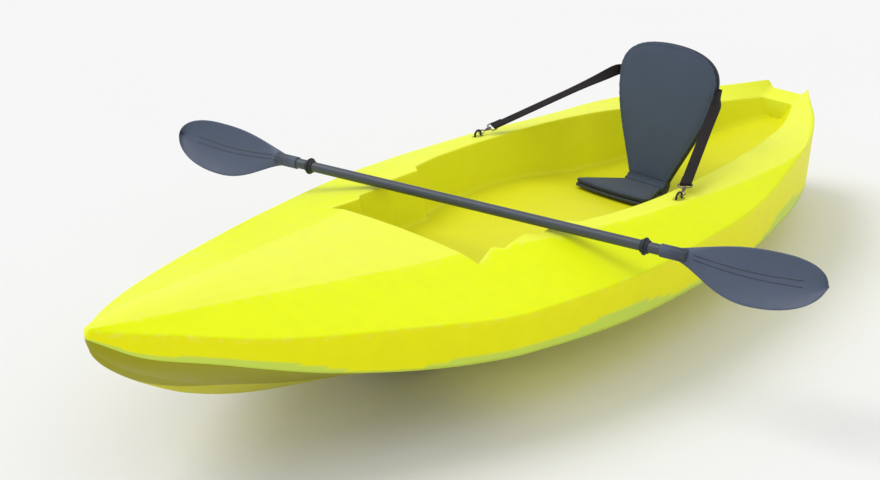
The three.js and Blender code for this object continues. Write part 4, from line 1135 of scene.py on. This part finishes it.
def cushion(name, sizes, outline_of, place, finishes, body, node):
    """A padded panel: swollen face, flat back, an edge painted darker as shade, and a sewn channel with
    stitches near the rim.
    """
    SKIN = 0.0015
    HELD_RIM = 0.006
    CHANNEL_INSET = 0.010
    CHANNEL_DEPTH = 0.0011
    CHANNEL_WIDTH = 0.0045
    start = sizes.pad_start
    bm = slab(outline_of(sizes, start, SKIN), -SKIN, -sizes.pad, bevel=0.003, segments=3)
    made = piece(name, bm, finishes)
    rim = outline_tree(outline_of(sizes, start))

    def from_rim(co):
        return rim.find((co.x, co.y, 0))[2]

    remeshed(made)
    inflated(made, sizes, lambda co: from_rim(co) < HELD_RIM)
    channel = outline_tree(outline_of(sizes, start, CHANNEL_INSET))
    for vert in made.data.vertices:
        vert.co.z = max(vert.co.z, -sizes.pad)
        reach = channel.find((vert.co.x, vert.co.y, 0))[2]
        if vert.co.z > -sizes.pad * 0.4:
            vert.co.z -= CHANNEL_DEPTH * (1 - smoothstep(reach, 0, CHANNEL_WIDTH))
    made.data.update()
    # Faces that turn away from the top take the darker fabric: painted shade on the cushion's sides.
    for face in made.data.polygons:
        face.material_index = 1 if face.normal.z < 0.55 else 0
        face.use_smooth = True
    finer = made.modifiers.new("finer", "SUBSURF")
    finer.levels = finer.render_levels = 1
    stitches = stitched(name + "_stitching", made, outline_of(sizes, start, CHANNEL_INSET), finishes[1])
    for each in (made, stitches):
        each.data.transform(place)
        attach(each, body)
    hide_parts(node)


def stitch(middle, along, length, thread, rise, dip, sides):
    """One stitch whose ends dip; its rise and dip are shares of the thread's diameter."""
    lift = Vector((0, 0, thread))
    points = [middle + along * (length / 2 * k) + lift * (rise - dip * k * k) for k in (-1, -0.5, 0, 0.5, 1)]
    return tube(points, thread, sides=sides)


def stitched(name, ground, outline, finish):
    """A row of stitches lying on a pad along an outline."""
    PITCH, STITCH, THREAD, ABOVE = 0.0062, 0.0042, 0.0007, 0.05
    tree = BVHTree.FromPolygons([v.co for v in ground.data.vertices],
                                [p.vertices for p in ground.data.polygons])
    path = [Vector((x, y, 0)) for x, y in [*outline, outline[0]]]
    parts = []
    left = 0.0
    for a, b in zip(path, path[1:]):
        span = (b - a).length
        while left < span:
            middle = a.lerp(b, left / span)
            hit = tree.ray_cast(middle + Vector((0, 0, ABOVE)), Vector((0, 0, -1)))[0]
            if hit:
                parts.append(stitch(hit, (b - a).normalized(), STITCH, THREAD, 0.9, 1.3, 5))
            left += PITCH
        left -= span
    return piece(name, joined(*parts), finish)


def fold_cover_rows(sizes, seat):
    """Sections of the fabric sock round the fold, one for each place across it."""
    INNER, CREASE, OVER, LIFT = 0.0042, 0.0068, 0.0009, 0.0004
    near = sizes.pad_start + 0.006
    outer = sizes.pad + sizes.board_gap + sizes.board + OVER
    seat_back, back_back = -seat.seat_up, -seat.back_front
    bisector = (seat.seat_forward + seat.back_up).normalized()

    def under_pad(along, up):
        """From under a pad's edge to beside the crease."""
        return [along * near - up * (4 * LIFT), along * (near * 0.9) + up * (0.5 * LIFT),
                along * CREASE + up * LIFT]

    crease = spline([*under_pad(seat.seat_forward, seat.seat_up), bisector * INNER,
                     *reversed(under_pad(seat.back_up, seat.back_front))], 4)
    turn = seat_back.angle(back_back)
    axis = seat_back.cross(back_back).normalized()
    SWEEP_STEPS = 10
    sweep = [Matrix.Rotation(turn * k / SWEEP_STEPS, 3, axis) @ seat_back * outer
             for k in range(SWEEP_STEPS + 1)]
    tail = seat.back_up * near + back_back * outer
    lead = seat.seat_forward * near + seat_back * outer
    section = [*crease, tail, *reversed(sweep), lead]
    # (place across, share of the section's size)
    EDGE = ((-1.0, 0.88), (-0.985, 0.96), (-0.95, 1.0), (-0.5, 1.0), (0.0, 1.0),
            (0.5, 1.0), (0.95, 1.0), (0.985, 0.96), (1.0, 0.88))
    middle = (seat_back + back_back).normalized() * (outer * 0.45)
    return [[seat.fold + ACROSS * (sizes.back_foot * place) + middle + (point - middle) * share
             for point in section] for place, share in EDGE]


class KAYAK_OT_seat(bpy.types.Operator):
    """Build the folding seat: cushions, the cover of the fold and the boards"""

    bl_idname = "kayak.seat"
    bl_label = "Seat"

    def execute(self, context):
        sizes = context.scene.kayak_seat
        seat = SeatFrame(sizes)
        back_face = fabric_finish("backrest fabric", sizes.fabric, lean=-sizes.recline)
        seat_face = fabric_finish("seat fabric", sizes.seat_fabric, lean=sizes.slope, across_y=False)
        trim = fabric_finish("trim fabric", sizes.trim, pitch=0.0011)
        board = plastic_finish("seat board", sizes.board_colour, 0.55)
        cushion("backrest_cushion", sizes, backrest_outline, seat.back, [back_face, trim],
                "backrest", "backrest_pad")
        cushion("seat_cushion", sizes, seat_outline, seat.seat, [seat_face, trim],
                "hull", "seat_pad")
        cover = piece("fold_cover", loft(fold_cover_rows(sizes, seat), closed=True), [seat_face, trim],
                      sharp=50)
        # Faces turned away from the sitter take the darker fabric: painted shade on the fold's back.
        for face in cover.data.polygons:
            towards_sitter = face.normal.dot(seat.seat_forward + seat.back_up) > 0.5
            face.material_index = 0 if towards_sitter else 1
        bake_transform(cover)
        top = -sizes.pad - sizes.board_gap
        BOARD_START = 0.004
        for name, outline_of, inset, place, body, node in (
                ("backrest_panel", backrest_outline, 0.002, seat.back, "backrest", "backrest_board"),
                ("seat_panel", seat_outline, 0.001, seat.seat, "hull", "seat_base")):
            outline = outline_of(sizes, BOARD_START, inset)
            panel = slab(outline, top, top - sizes.board, bevel=0.0016, segments=3)
            piece(name, moved(panel, place), board, body, [node])
        return {"FINISHED"}


# ---- Straps, snaps and deck eyes ----
class Snap:
    """Where a snap lies: its ring is hooked on the deck eye and its shank points to the backrest's edge."""

    SHOULDER = math.asin(0.32)      # how far up the eye's bend the ring pulls
    EDGE_CLEARANCE = 0.010
    BELOW_KEEPER, BEHIND_FACE = 0.002, 0.008
    SHANK_LENGTH, HEAD_LENGTH, FRAME_OVERLAP = 0.007, 0.0025, 0.002

    def __init__(self, side, rigging, seat_sizes):
        seat = SeatFrame(seat_sizes)
        self.side = side
        contact = Vector((rigging.eye_place - rigging.eye_radius * math.cos(self.SHOULDER),
                          side * rigging.eye_half_breadth,
                          rigging.eye_height + rigging.eye_straight
                          + rigging.eye_radius * math.sin(self.SHOULDER)))
        self.over_edge = seat.back_point(side * (seat_sizes.back_half_width + self.EDGE_CLEARANCE),
                                         rigging.strap_height - self.BELOW_KEEPER, self.BEHIND_FACE)
        self.pull = (self.over_edge - contact).normalized()
        self.wide = (ACROSS - self.pull * ACROSS.dot(self.pull)).normalized()
        self.normal = self.pull.cross(self.wide)
        offset = rigging.ring_radius - (rigging.eye_wire + rigging.snap_wire) / 2 - rigging.fit
        self.centre = contact + self.pull * offset
        self.matrix = basis(self.pull, self.wide, self.normal, self.centre)
        self.barrel_start = rigging.ring_radius + self.SHANK_LENGTH
        self.barrel_end = self.barrel_start + rigging.barrel
        self.head_end = self.barrel_end + rigging.fit + self.HEAD_LENGTH
        self.frame_start = self.barrel_end - self.FRAME_OVERLAP
        self.bar = self.frame_start + rigging.frame_wire * 1.5 + rigging.frame_opening


# Degrees round the ring of a snap's hook.
GATE_FROM, GATE_TO, HOOK_FROM, HOOK_TO = 27, 78, 87, 352


def eye_wire(rigging, side):
    """The bent wire of a deck eye, with its legs through the deck."""
    base = Vector((rigging.eye_place, side * rigging.eye_half_breadth, rigging.eye_height))
    bend = [Vector((p.x, 0, p.y + rigging.eye_straight)) for p in arc(rigging.eye_radius, 0, 180, 24)]
    leg = rigging.eye_leg
    start = [Vector((rigging.eye_radius, 0, z)) for z in (-leg, -leg / 2, 0.0)]
    end = [Vector((-rigging.eye_radius, 0, z)) for z in (0.0, -leg / 2, -leg)]
    return tube([base + point for point in [*start, *bend, *end]], rigging.eye_wire, sides=20)


def hook_mesh(rigging, snap):
    """Ring hook, shank with its collar, and the riveted head inside the swivel's frame."""
    ring = arc(rigging.ring_radius, HOOK_FROM, HOOK_TO, 40)
    hook = tube(ring, rigging.snap_wire, rounded=True)
    half = rigging.shank / 2
    start = rigging.ring_radius - 0.0005
    collar = rigging.ring_radius + 0.003
    ends = snap.barrel_start - rigging.fit
    head = snap.barrel_end + rigging.fit
    shank = turned([(start, 0.0), (start, half * 0.9), (collar, half), (collar + 0.0006, half + 0.001),
                    (ends - 0.0004, half + 0.001), (ends, half + 0.0006), (ends, half), (head, half),
                    (head, half + 0.0012), (snap.head_end - 0.0008, half + 0.0012), (snap.head_end, half),
                    (snap.head_end, 0.0)], 32)
    return joined(hook, shank)


def swivel_mesh(rigging, snap):
    """A barrel on the shank, and a wire frame that holds the webbing."""
    radius = rigging.barrel / 2
    bore = rigging.shank / 2 + rigging.fit
    a, b = snap.barrel_start, snap.barrel_end
    EASE = 0.0008
    barrel = turned([(a, bore), (a, radius - EASE), (a + EASE, radius), (b - EASE, radius),
                     (b, radius - EASE), (b, bore)], 32)
    wire = rigging.frame_wire
    half = rigging.webbing_width / 2 + 0.001 + wire / 2
    front = snap.frame_start + wire / 2
    WIDE_CORNER, TIGHT_CORNER, FRAME_SHARE = 0.005, 0.002, 0.94
    loop = []
    for x, corner, end, start in ((snap.bar, -TIGHT_CORNER, 1, 0), (front, WIDE_CORNER, 1, 90),
                                  (front, WIDE_CORNER, -1, 180), (snap.bar, -TIGHT_CORNER, -1, 270)):
        middle = Vector((x + corner, end * (half - abs(corner)), 0))
        loop += [p + middle for p in arc(abs(corner), start, start + 90, 6)]
    return joined(barrel, tube(loop, wire * FRAME_SHARE, sides=14, looped=True))


def band(points, wides, width, thickness):
    """Flat webbing with rounded selvedges along points; wides give the direction of its width."""
    SELVEDGE = ((0.985, 0.72), (0.93, 1.0), (0.5, 1.0))
    half = [(1, 0.0), *SELVEDGE, (0.0, 1.0), *[(-a, b) for a, b in reversed(SELVEDGE)]]
    section = half + [(-a, -b) for a, b in half]
    rows = []
    for i, (point, wide) in enumerate(zip(points, wides)):
        ahead = points[min(i + 1, len(points) - 1)]
        behind = points[max(i - 1, 0)]
        tangent = (ahead - behind).normalized()
        across = (wide - tangent * wide.dot(tangent)).normalized()
        thin = tangent.cross(across)
        rows.append([point + across * (a * width / 2) + thin * (b * thickness / 2) for a, b in section])
    return loft(rows, closed=True)


def strap_route(rigging, seat_sizes, snap):
    """The strap's centreline, the directions of its width and the count of its points on the swivel."""
    seat = SeatFrame(seat_sizes)
    side = snap.side
    thickness = rigging.webbing_thickness
    BAR_GAP, LAP = 0.0004, 0.024
    hub = rigging.frame_wire * 0.5 + BAR_GAP + thickness / 2
    turn = [Vector((snap.bar - hub * math.cos(a), 0, hub * math.sin(a)))
            for a in [math.radians(mixed(-70, 70, k / 14)) for k in range(15)]]
    under = [Vector((mixed(snap.bar + LAP, snap.bar + hub * 0.6, k / 6), 0, -thickness * 0.95))
             for k in range(6)]
    fold_over = [Vector((mixed(snap.bar + hub * 0.9, snap.bar + LAP, k / 4), 0, thickness * 0.12))
                 for k in range(5)]
    start = [snap.matrix @ p for p in [*under, *turn, *fold_over]]
    depth = seat_sizes.pad + 2 * seat_sizes.board_gap + seat_sizes.board + 0.0012
    # Behind the backrest: (how far outside its edge, how much further back than the board).
    BEHIND = ((0.007, -0.005), (-0.005, 0.0008), (-0.026, 0.0), (-0.062, 0.0))
    way = [start[-1], *[start[-1].lerp(snap.over_edge, k) for k in (0.3, 0.6, 0.85)], snap.over_edge,
           *[seat.back_point(side * (seat_sizes.back_half_width + out), rigging.strap_height, depth + back)
             for out, back in BEHIND]]
    route = spline(way, 10)
    points = [*start, *route[1:]]
    TWIST_FROM, TWIST_TO = 0.20, 0.60
    wides = []
    for i in range(len(points)):
        twist = smoothstep(i - len(start), TWIST_FROM * len(route), TWIST_TO * len(route))
        wides.append(snap.wide.lerp(-seat.back_up, twist))
    return points, wides, len(start)


def lap_stitches(rigging, snap):
    """Two rows of stitches across the strap's sewn lap."""
    THREAD, STITCH, ROWS, COLUMNS = 0.0007, 0.0032, 2, 5
    FIRST_ROW, ROW_SPACING, SEWN_SHARE = 0.012, 0.008, 0.78
    half = rigging.webbing_width * SEWN_SHARE / 2
    height = rigging.webbing_thickness * 0.62 + THREAD * 0.2
    parts = []
    for row in range(ROWS):
        x = snap.bar + FIRST_ROW + row * ROW_SPACING
        for column in range(COLUMNS):
            middle = Vector((x, mixed(-half, half, column / (COLUMNS - 1)), height))
            parts.append(stitch(middle, ACROSS, STITCH, THREAD, 0.0, 0.8, 6))
    return moved(joined(*parts), snap.matrix)


class KAYAK_OT_rigging(bpy.types.Operator):
    """Build the deck eyes, the snaps, the straps and their keepers"""

    bl_idname = "kayak.rigging"
    bl_label = "Straps and eyes"

    def execute(self, context):
        rigging = context.scene.kayak_rigging
        seat_sizes = context.scene.kayak_seat
        seat = SeatFrame(seat_sizes)
        coated = plastic_finish("coated wire", rigging.wire, 0.38, fine=1500.0)
        cast = metal_finish("cast metal", rigging.metal, 0.36)
        steel = metal_finish("stainless steel", (0.50, 0.50, 0.51), 0.30)
        woven = webbing_finish(rigging.webbing)
        thread = plastic_finish("sewing thread", (0.035, 0.030, 0.032), 0.7)
        board = plastic_finish("keeper plastic", seat_sizes.board_colour, 0.5)
        for name, side in SIDES.items():
            snap = Snap(side, rigging, seat_sizes)
            piece(f"eye_{name}", eye_wire(rigging, side), coated, "hull", [f"deck_eye_{name}"])
            gate = tube(arc(rigging.ring_radius, GATE_FROM, GATE_TO, 14), rigging.snap_wire - 0.0008,
                        rounded=True)
            for part, bm, metal, body, node in (
                    ("hook", hook_mesh(rigging, snap), cast, "hull", "snap_hook"),
                    ("gate", gate, steel, f"gate_{name}", "snap_gate"),
                    ("swivel", swivel_mesh(rigging, snap), cast, f"swivel_{name}", "snap_swivel")):
                piece(f"{part}_{name}", moved(bm, snap.matrix), metal, body, [f"{node}_{name}"])
            points, wides, on_swivel = strap_route(rigging, seat_sizes, snap)
            strap = band(points, wides, rigging.webbing_width, rigging.webbing_thickness)
            made = piece(f"webbing_{name}", strap, woven, nodes=[f"strap_{name}"], sharp=60)
            piece(f"lap_stitches_{name}", lap_stitches(rigging, snap), thread, "hull")
            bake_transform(made)
            self.keeper(name, side, rigging, seat_sizes, seat, board, steel)
        return {"FINISHED"}

    @staticmethod
    def keeper(name, side, rigging, seat_sizes, seat, board, steel):
        """The bridge that holds a strap's end on the backrest's board, with its two screws."""
        STRAP_GAP, BRIDGE, PAST_WEBBING, IN_FROM_EDGE, HALF_WIDE = 0.0009, 0.003, 0.012, 0.048, 0.011
        back = seat_sizes.pad + 2 * seat_sizes.board_gap + seat_sizes.board
        under = back + rigging.webbing_thickness + STRAP_GAP
        over = under + BRIDGE
        half_tall = rigging.webbing_width / 2 + PAST_WEBBING
        channel = rigging.webbing_width / 2 + 0.001
        place = seat.back_point(side * (seat_sizes.back_half_width - IN_FROM_EDGE), rigging.strap_height, 0)
        turned_back = basis(seat.back_up, -seat.back_front, -ACROSS, place)
        outline = [(-half_tall, back), (-channel, back), (-channel, under), (channel, under), (channel, back),
                   (half_tall, back), (half_tall, over), (-half_tall, over)]
        bridge = slab(outline, HALF_WIDE, -HALF_WIDE, bevel=0.0009, segments=3)
        piece(f"keeper_{name}", moved(bridge, turned_back), board, "backrest", [f"strap_keeper_{name}"])
        # A screw's head: (height above the bridge, radius).
        DOME = ((0.0004, 0.0), (0.0004, 0.004), (0.0012, 0.004), (0.0021, 0.0033), (0.0026, 0.002),
                (0.0026, 0.0014), (0.0016, 0.0012), (0.0016, 0.0))
        screw_lift = half_tall - 0.006
        for label, lift in (("upper", screw_lift), ("lower", -screw_lift)):
            head = turned([(over + height, radius) for height, radius in DOME], 24)
            screw = moved(head, along_x(place + seat.back_up * lift, -seat.back_front))
            node = f"keeper_screw_{name}_{label}"
            piece(f"screw_{name}_{label}", screw, steel, "backrest", [node])


# ---- Paddle ----
class BladeShape:
    """A blade drawn along X: its outline, its thickness and the scoop of its power face."""

    THIN_EDGE = 0.0013
    SCOOP = 0.010
    TIP_BEND = 0.006
    NECK_LENGTH = 0.075       # over which the round neck turns into the flat blade
    INTO_SOCKET = 0.016       # how far the neck begins inside the socket

    def __init__(self, sizes):
        self.sizes = sizes
        self.root = sizes.length / 2 - sizes.blade_length + sizes.socket_length - self.INTO_SOCKET
        self.tip = sizes.length / 2
        root, tip = self.root, self.tip
        neck, wide, narrow = sizes.shaft / 2, sizes.wide_side, sizes.narrow_side
        STEPS = 60
        end, low_wide, high_wide = (tip, 0.004), (tip - 0.145, -wide), (tip - 0.095, narrow)
        self.low = bezier((root, -neck), (root + 0.05, -neck - 0.008), (root + 0.09, -wide), low_wide, STEPS)
        self.low += bezier(low_wide, (tip - 0.06, -wide), (tip - 0.004, -0.034), end, STEPS) + [end]
        self.high = bezier((root, neck), (root + 0.09, 0.034), (tip - 0.19, narrow), high_wide, STEPS)
        self.high += bezier(high_wide, (tip - 0.028, narrow), (tip + 0.001, 0.026), end, STEPS) + [end]

    @staticmethod
    def at(curve, x):
        for (x0, y0), (x1, y1) in zip(curve, curve[1:]):
            if x0 <= x <= x1 and x1 > x0:
                return y0 + (y1 - y0) * (x - x0) / (x1 - x0)
        return curve[-1][1]

    def section(self, x):
        """Middle and half-breadth of the blade at x."""
        low, high = self.at(self.low, x), self.at(self.high, x)
        return (low + high) / 2, max((high - low) / 2, 0.0)

    def height(self, x, across, side):
        """Height of a face at x; across runs from -1 at one edge to 1 at the other."""
        run = (x - self.root) / (self.tip - self.root)
        flat = smoothstep(x, self.root, self.root + self.NECK_LENGTH)
        thickness = mixed(self.sizes.shaft * 0.46, self.sizes.blade_thickness / 2, flat)
        inside = max(1 - across * across, 0.0)
        round_part = thickness * math.sqrt(inside)
        crowned = mixed(self.THIN_EDGE, thickness, inside)
        eased = crowned * min(1.0, 3 * math.sqrt(inside))
        tip_ease = math.sqrt(max(1 - run ** 14, 0.0))
        scoop = self.SCOOP * flat * inside * smoothstep(x, self.root + 0.02, self.tip - 0.1)
        return side * mixed(round_part, eased, flat) * tip_ease - scoop + self.TIP_BEND * flat * run * run

    def rows(self):
        """Sections from the neck to the tip, with their colours."""
        COLUMNS, HALF_SECTION, CROWDED = 90, 22, 1.7
        RUBBED_EDGE, RUBBED_TIP = 0.97, 0.006
        rows, tints = [], []
        for i in range(COLUMNS + 1):
            share = 1 - (1 - i / COLUMNS) ** CROWDED
            x = mixed(self.root, self.tip, share)
            middle, half = self.section(min(x, self.tip - 1e-6))
            if i == COLUMNS:
                half = 0.0
            row, tint = [], []
            for k in range(2 * HALF_SECTION):
                angle = math.pi * k / HALF_SECTION
                across = math.cos(angle)
                side = (math.sin(angle) > 1e-9) - (math.sin(angle) < -1e-9)
                row.append(Vector((x, middle + half * across, self.height(x, across, side))))
                edge = abs(across) > RUBBED_EDGE or x > self.tip - RUBBED_TIP
                tint.append((*self.sizes.blade, 1.0 if edge else 0.05))
            rows.append(row)
            tints.append(tint)
        return rows, tints

    def ribs(self):
        """Two thin moulded ribs along the middle of each face, painted dark as shade in grooves."""
        OFFSETS, RIB, STEPS, SUNK = (0.0055, -0.0055), 0.0019, 30, 0.0002
        start, end = self.root + 0.040, self.tip - 0.050
        parts = []
        for side in (1, -1):
            for offset in OFFSETS:
                points = []
                for k in range(STEPS + 1):
                    x = mixed(start, end, k / STEPS)
                    y = offset * mixed(0.8, 1.15, k / STEPS) - 0.006 * math.sin(math.pi * k / STEPS)
                    middle, half = self.section(x)
                    points.append(Vector((x, y, self.height(x, (y - middle) / half, side) - side * SUNK)))
                rib = tube(points, RIB, sides=8, rounded=True)
                # Painted shade: the raised ribs take the dark groove colour.
                tint = rib.verts.layers.float_color.new("tint")
                for vert in rib.verts:
                    vert[tint] = (*self.sizes.groove, 0.0)
                parts.append(rib)
        return joined(*parts)


class KAYAK_OT_paddle(bpy.types.Operator):
    """Build the paddle: shaft, blades with their sockets, and drip rings"""

    bl_idname = "kayak.paddle"
    bl_label = "Paddle"

    def execute(self, context):
        sizes = context.scene.kayak_paddle
        lie = (Matrix.Translation((sizes.place, sizes.sideways, sizes.height))
               @ Matrix.Rotation(math.pi / 2 + sizes.skew, 4, "Z"))
        tube_finish = plastic_finish("composite shaft", sizes.tube, 0.42, fine=1400.0)
        blade_finish = tinted_finish("blade nylon", 0.46)
        rubber = plastic_finish("drip ring rubber", sizes.rubber, 0.62, fine=1200.0)
        radius = sizes.shaft / 2
        root = sizes.length / 2 - sizes.blade_length
        END_GAP = 0.004
        end = root + sizes.socket_length - END_GAP
        inner = radius - sizes.shaft_wall
        shaft = turned([(-end, inner), (-end, radius), (end, radius), (end, inner)], 56)
        piece("shaft", moved(shaft, lie), tube_finish, "paddle", ["paddle_shaft"])
        for name, side in SIDES.items():
            shape = BladeShape(sizes)
            rows, tints = shape.rows()
            plate = joined(loft(rows, closed=True, layer=("tint", tints)), shape.ribs())
            blade = moved(joined(plate, self.sleeve(sizes, root)), Matrix.Rotation(sizes.pitch, 4, "X"))
            blade = moved(moved(blade, Matrix.Diagonal((side, 1, 1, 1))), lie)
            piece(f"paddle_blade_{name}", blade, blade_finish, "paddle", [f"blade_{name}"], sharp=40)
            place = Matrix.Translation((side * (root - sizes.ring_from_socket), 0, 0))
            ring = moved(self.drip_ring(sizes), lie @ place)
            piece(f"ring_{name}", ring, rubber, f"ring_{name}", [f"drip_ring_{name}"])
        return {"FINISHED"}

    @staticmethod
    def sleeve(sizes, root):
        """The squared socket that the shaft is glued into, with a bevelled mouth and a blunt blade end
        painted dark as shade.
        """
        CORNERS, FACETS, SQUARENESS, PAST_SOCKET = 8, 6, 0.75, 0.012
        MOUTH_BEVEL, END_BEVEL, SHADED_END = 0.0012, 0.002, 0.0025
        bore = sizes.shaft / 2 + 0.0005
        radius = bore + sizes.socket_wall
        length = sizes.socket_length + PAST_SOCKET
        places = [(0.0, bore), (0.0, radius - MOUTH_BEVEL), (MOUTH_BEVEL, radius),
                  (length - END_BEVEL, radius), (length, radius - END_BEVEL), (length, 0.001)]
        half_corner = math.pi / CORNERS
        rows, tints = [], []
        for x, reach in places:
            row = []
            for k in range(CORNERS * FACETS):
                angle = 2 * math.pi * k / (CORNERS * FACETS)
                sector = (angle + half_corner) % (2 * half_corner) - half_corner
                facet = math.cos(half_corner) / math.cos(sector)
                reached = reach * mixed(1.0, facet, SQUARENESS if reach > bore + 0.001 else 0.0)
                row.append(Vector((root + x, reached * math.cos(angle), reached * math.sin(angle))))
            rows.append(row)
            # Painted shade: the socket's blunt end takes the dark groove colour.
            colour = sizes.groove if x >= length - SHADED_END else sizes.blade
            tints.append([(*colour, 0.3)] * len(row))
        return loft(rows, closed=True, layer=("tint", tints))

    @staticmethod
    def drip_ring(sizes):
        """A soft collar with a thin cupped flange."""
        bore = sizes.shaft / 2 + 0.0003
        collar = bore + 0.0024
        lip = sizes.ring / 2
        half = 0.008
        profile = [(-half, bore), (-half, collar - 0.0006), (-half + 0.0006, collar), (-0.0022, collar),
                   (-0.0012, collar + 0.0012), (-0.0011, lip - 0.0012), (-0.0017, lip - 0.0003),
                   (-0.0008, lip), (0.0010, lip - 0.0002), (0.0008, lip - 0.0014), (0.0012, collar + 0.0012),
                   (0.0022, collar), (half - 0.0006, collar), (half, collar - 0.0006), (half, bore)]
        return turned(profile, 48)


# ---- Drain plug and the pieces inside the hull ----
class KAYAK_OT_drain(bpy.types.Operator):
    """Build the drain plug and its socket in the transom"""

    bl_idname = "kayak.drain"
    bl_label = "Drain plug"

    def execute(self, context):
        length = context.scene.kayak_hull.length
        nylon = plastic_finish("black nylon", (0.022, 0.022, 0.024), 0.48)
        PLUG_HEIGHT, STEM, HEAD, FLANGE, BARREL, BASE = 0.150, 0.0075, 0.015, 0.019, 0.0125, 0.006
        aft = along_x((-length / 2, 0, PLUG_HEIGHT), (-1, 0, 0))
        bore = STEM + 0.0005
        socket = [(-0.018, bore), (-0.018, BARREL), (0.0005, BARREL), (0.0005, FLANGE), (0.0017, FLANGE),
                  (0.003, FLANGE - 0.0016), (0.003, bore)]
        piece("drain_flange", moved(turned(socket), aft), nylon, "hull", ["drain_socket"])
        top = BASE + 0.006
        plug = [(-0.014, 0.0), (-0.014, STEM - 0.001), (-0.012, STEM), (BASE, STEM), (BASE, HEAD - 0.0005),
                (BASE + 0.0006, HEAD), (BASE + 0.004, HEAD), (BASE + 0.0057, HEAD - 0.0018),
                (top, HEAD - 0.004), (top, 0.0)]
        GRIP_HALF_LENGTH, GRIP_HALF_WIDTH = 0.011, 0.0022
        corners = [(x * GRIP_HALF_LENGTH, y * GRIP_HALF_WIDTH)
                   for x, y in ((-1, -1), (1, -1), (1, 1), (-1, 1))]
        grip = slab(corners, 0.0135, 0.0055, bevel=0.001, segments=3)
        upright = basis(ACROSS, Vector((0, 0, 1)), Vector((1, 0, 0)), Vector((BASE - 0.0015, 0, 0)))
        whole = joined(turned(plug), moved(grip, upright))
        piece("drain_stopper", moved(whole, aft), nylon, "plug", ["drain_plug"])
        return {"FINISHED"}


class KAYAK_OT_inner_finishes(bpy.types.Operator):
    """Give the pieces inside the hull their finishes"""

    bl_idname = "kayak.inner_finishes"
    bl_label = "Inner pieces"

    def execute(self, context):
        foam = foam_finish()
        zinc = metal_finish("zinc-plated steel", (0.46, 0.46, 0.48), 0.4)
        rubber = plastic_finish("gasket rubber", (0.02, 0.02, 0.022), 0.7)
        for name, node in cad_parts.items():
            chosen = foam if name.endswith("_foam") else rubber if name == "drain_gasket" else zinc
            node.data.materials.clear()
            node.data.materials.append(chosen)
        return {"FINISHED"}


# ---- Stage ----
class KAYAK_OT_stage(bpy.types.Operator):
    """Lay the floor and set up the lights and the camera"""

    bl_idname = "kayak.stage"
    bl_label = "Stage"

    def execute(self, context):
        stage = context.scene.kayak_stage
        bm = bmesh.new()
        bmesh.ops.create_grid(bm, x_segments=1, y_segments=1, size=stage.floor_size)
        finish = Finish("studio floor", 0.9)
        tone = finish.w.noise(finish.place, 0.7)
        finish.shaded(opaque(stage.floor_colour), tone, 0.02)
        piece("floor", bm, finish.material)
        scene = context.scene
        scene.view_settings.view_transform = "Standard"
        world = bpy.data.worlds.new("studio")
        world.use_nodes = True
        background = world.node_tree.nodes["Background"].inputs
        background["Color"].default_value = (1, 1, 1, 1)
        background["Strength"].default_value = stage.sky
        scene.world = world
        key = bpy.data.lights.new("key", "SUN")
        key.energy = stage.key
        key.angle = stage.softness
        lamp = bpy.data.objects.new("key", key)
        LIGHT_FROM = Vector((0.35, -0.62, 1.0))
        lamp.rotation_mode = "QUATERNION"
        lamp.rotation_quaternion = LIGHT_FROM.to_track_quat("Z", "Y")
        scene.collection.objects.link(lamp)
        camera = bpy.data.objects.new("camera", bpy.data.cameras.new("camera"))
        a, e = stage.azimuth, stage.elevation
        back = Vector((math.sin(a) * math.cos(e), -math.cos(a) * math.cos(e), math.sin(e)))
        TARGET = Vector((0.0622, -0.1426, 0.15))
        camera.location = TARGET + back * stage.distance
        camera.rotation_mode = "QUATERNION"
        camera.rotation_quaternion = back.to_track_quat("Z", "Y")
        camera.data.lens = stage.lens
        scene.collection.objects.link(camera)
        scene.camera = camera
        return {"FINISHED"}


class KAYAK_PT_panel(bpy.types.Panel):
    """The kayak's operators and sizes in the sidebar"""

    bl_label = "Kayak"
    bl_idname = "KAYAK_PT_panel"
    bl_space_type = "VIEW_3D"
    bl_region_type = "UI"
    bl_category = "Kayak"

    def draw(self, context):
        for operator in OPERATORS:
            self.layout.operator(operator.bl_idname)
        for attribute, sizes in SETTINGS.items():
            box = self.layout.box()
            box.label(text=sizes.__doc__)
            group = getattr(context.scene, attribute)
            for name in sizes.__annotations__:
                box.prop(group, name)


SETTINGS = {
    "kayak_hull": KayakHullSizes,
    "kayak_seat": KayakSeatSizes,
    "kayak_rigging": KayakRiggingSizes,
    "kayak_paddle": KayakPaddleSizes,
    "kayak_stage": KayakStageSizes,
}
OPERATORS = (
    KAYAK_OT_stage,
    KAYAK_OT_inner_finishes,
    KAYAK_OT_hull,
    KAYAK_OT_seat,
    KAYAK_OT_rigging,
    KAYAK_OT_paddle,
    KAYAK_OT_drain,
)


def register():
    for sizes in SETTINGS.values():
        for attribute, deferred in sizes.__annotations__.items():
            deferred.keywords["name"] = attribute.replace("_", " ").capitalize()
        bpy.utils.register_class(sizes)
    for attribute, sizes in SETTINGS.items():
        setattr(bpy.types.Scene, attribute, PointerProperty(type=sizes))
    for operator in OPERATORS:
        bpy.utils.register_class(operator)
    bpy.utils.register_class(KAYAK_PT_panel)


def unregister():
    bpy.utils.unregister_class(KAYAK_PT_panel)
    for operator in reversed(OPERATORS):
        bpy.utils.unregister_class(operator)
    for attribute, sizes in reversed(SETTINGS.items()):
        delattr(bpy.types.Scene, attribute)
        bpy.utils.unregister_class(sizes)


def main():
    register()
    for operator in OPERATORS:
        category, name = operator.bl_idname.split(".")
        getattr(getattr(bpy.ops, category), name)()


if __name__ == "__main__":
    main()
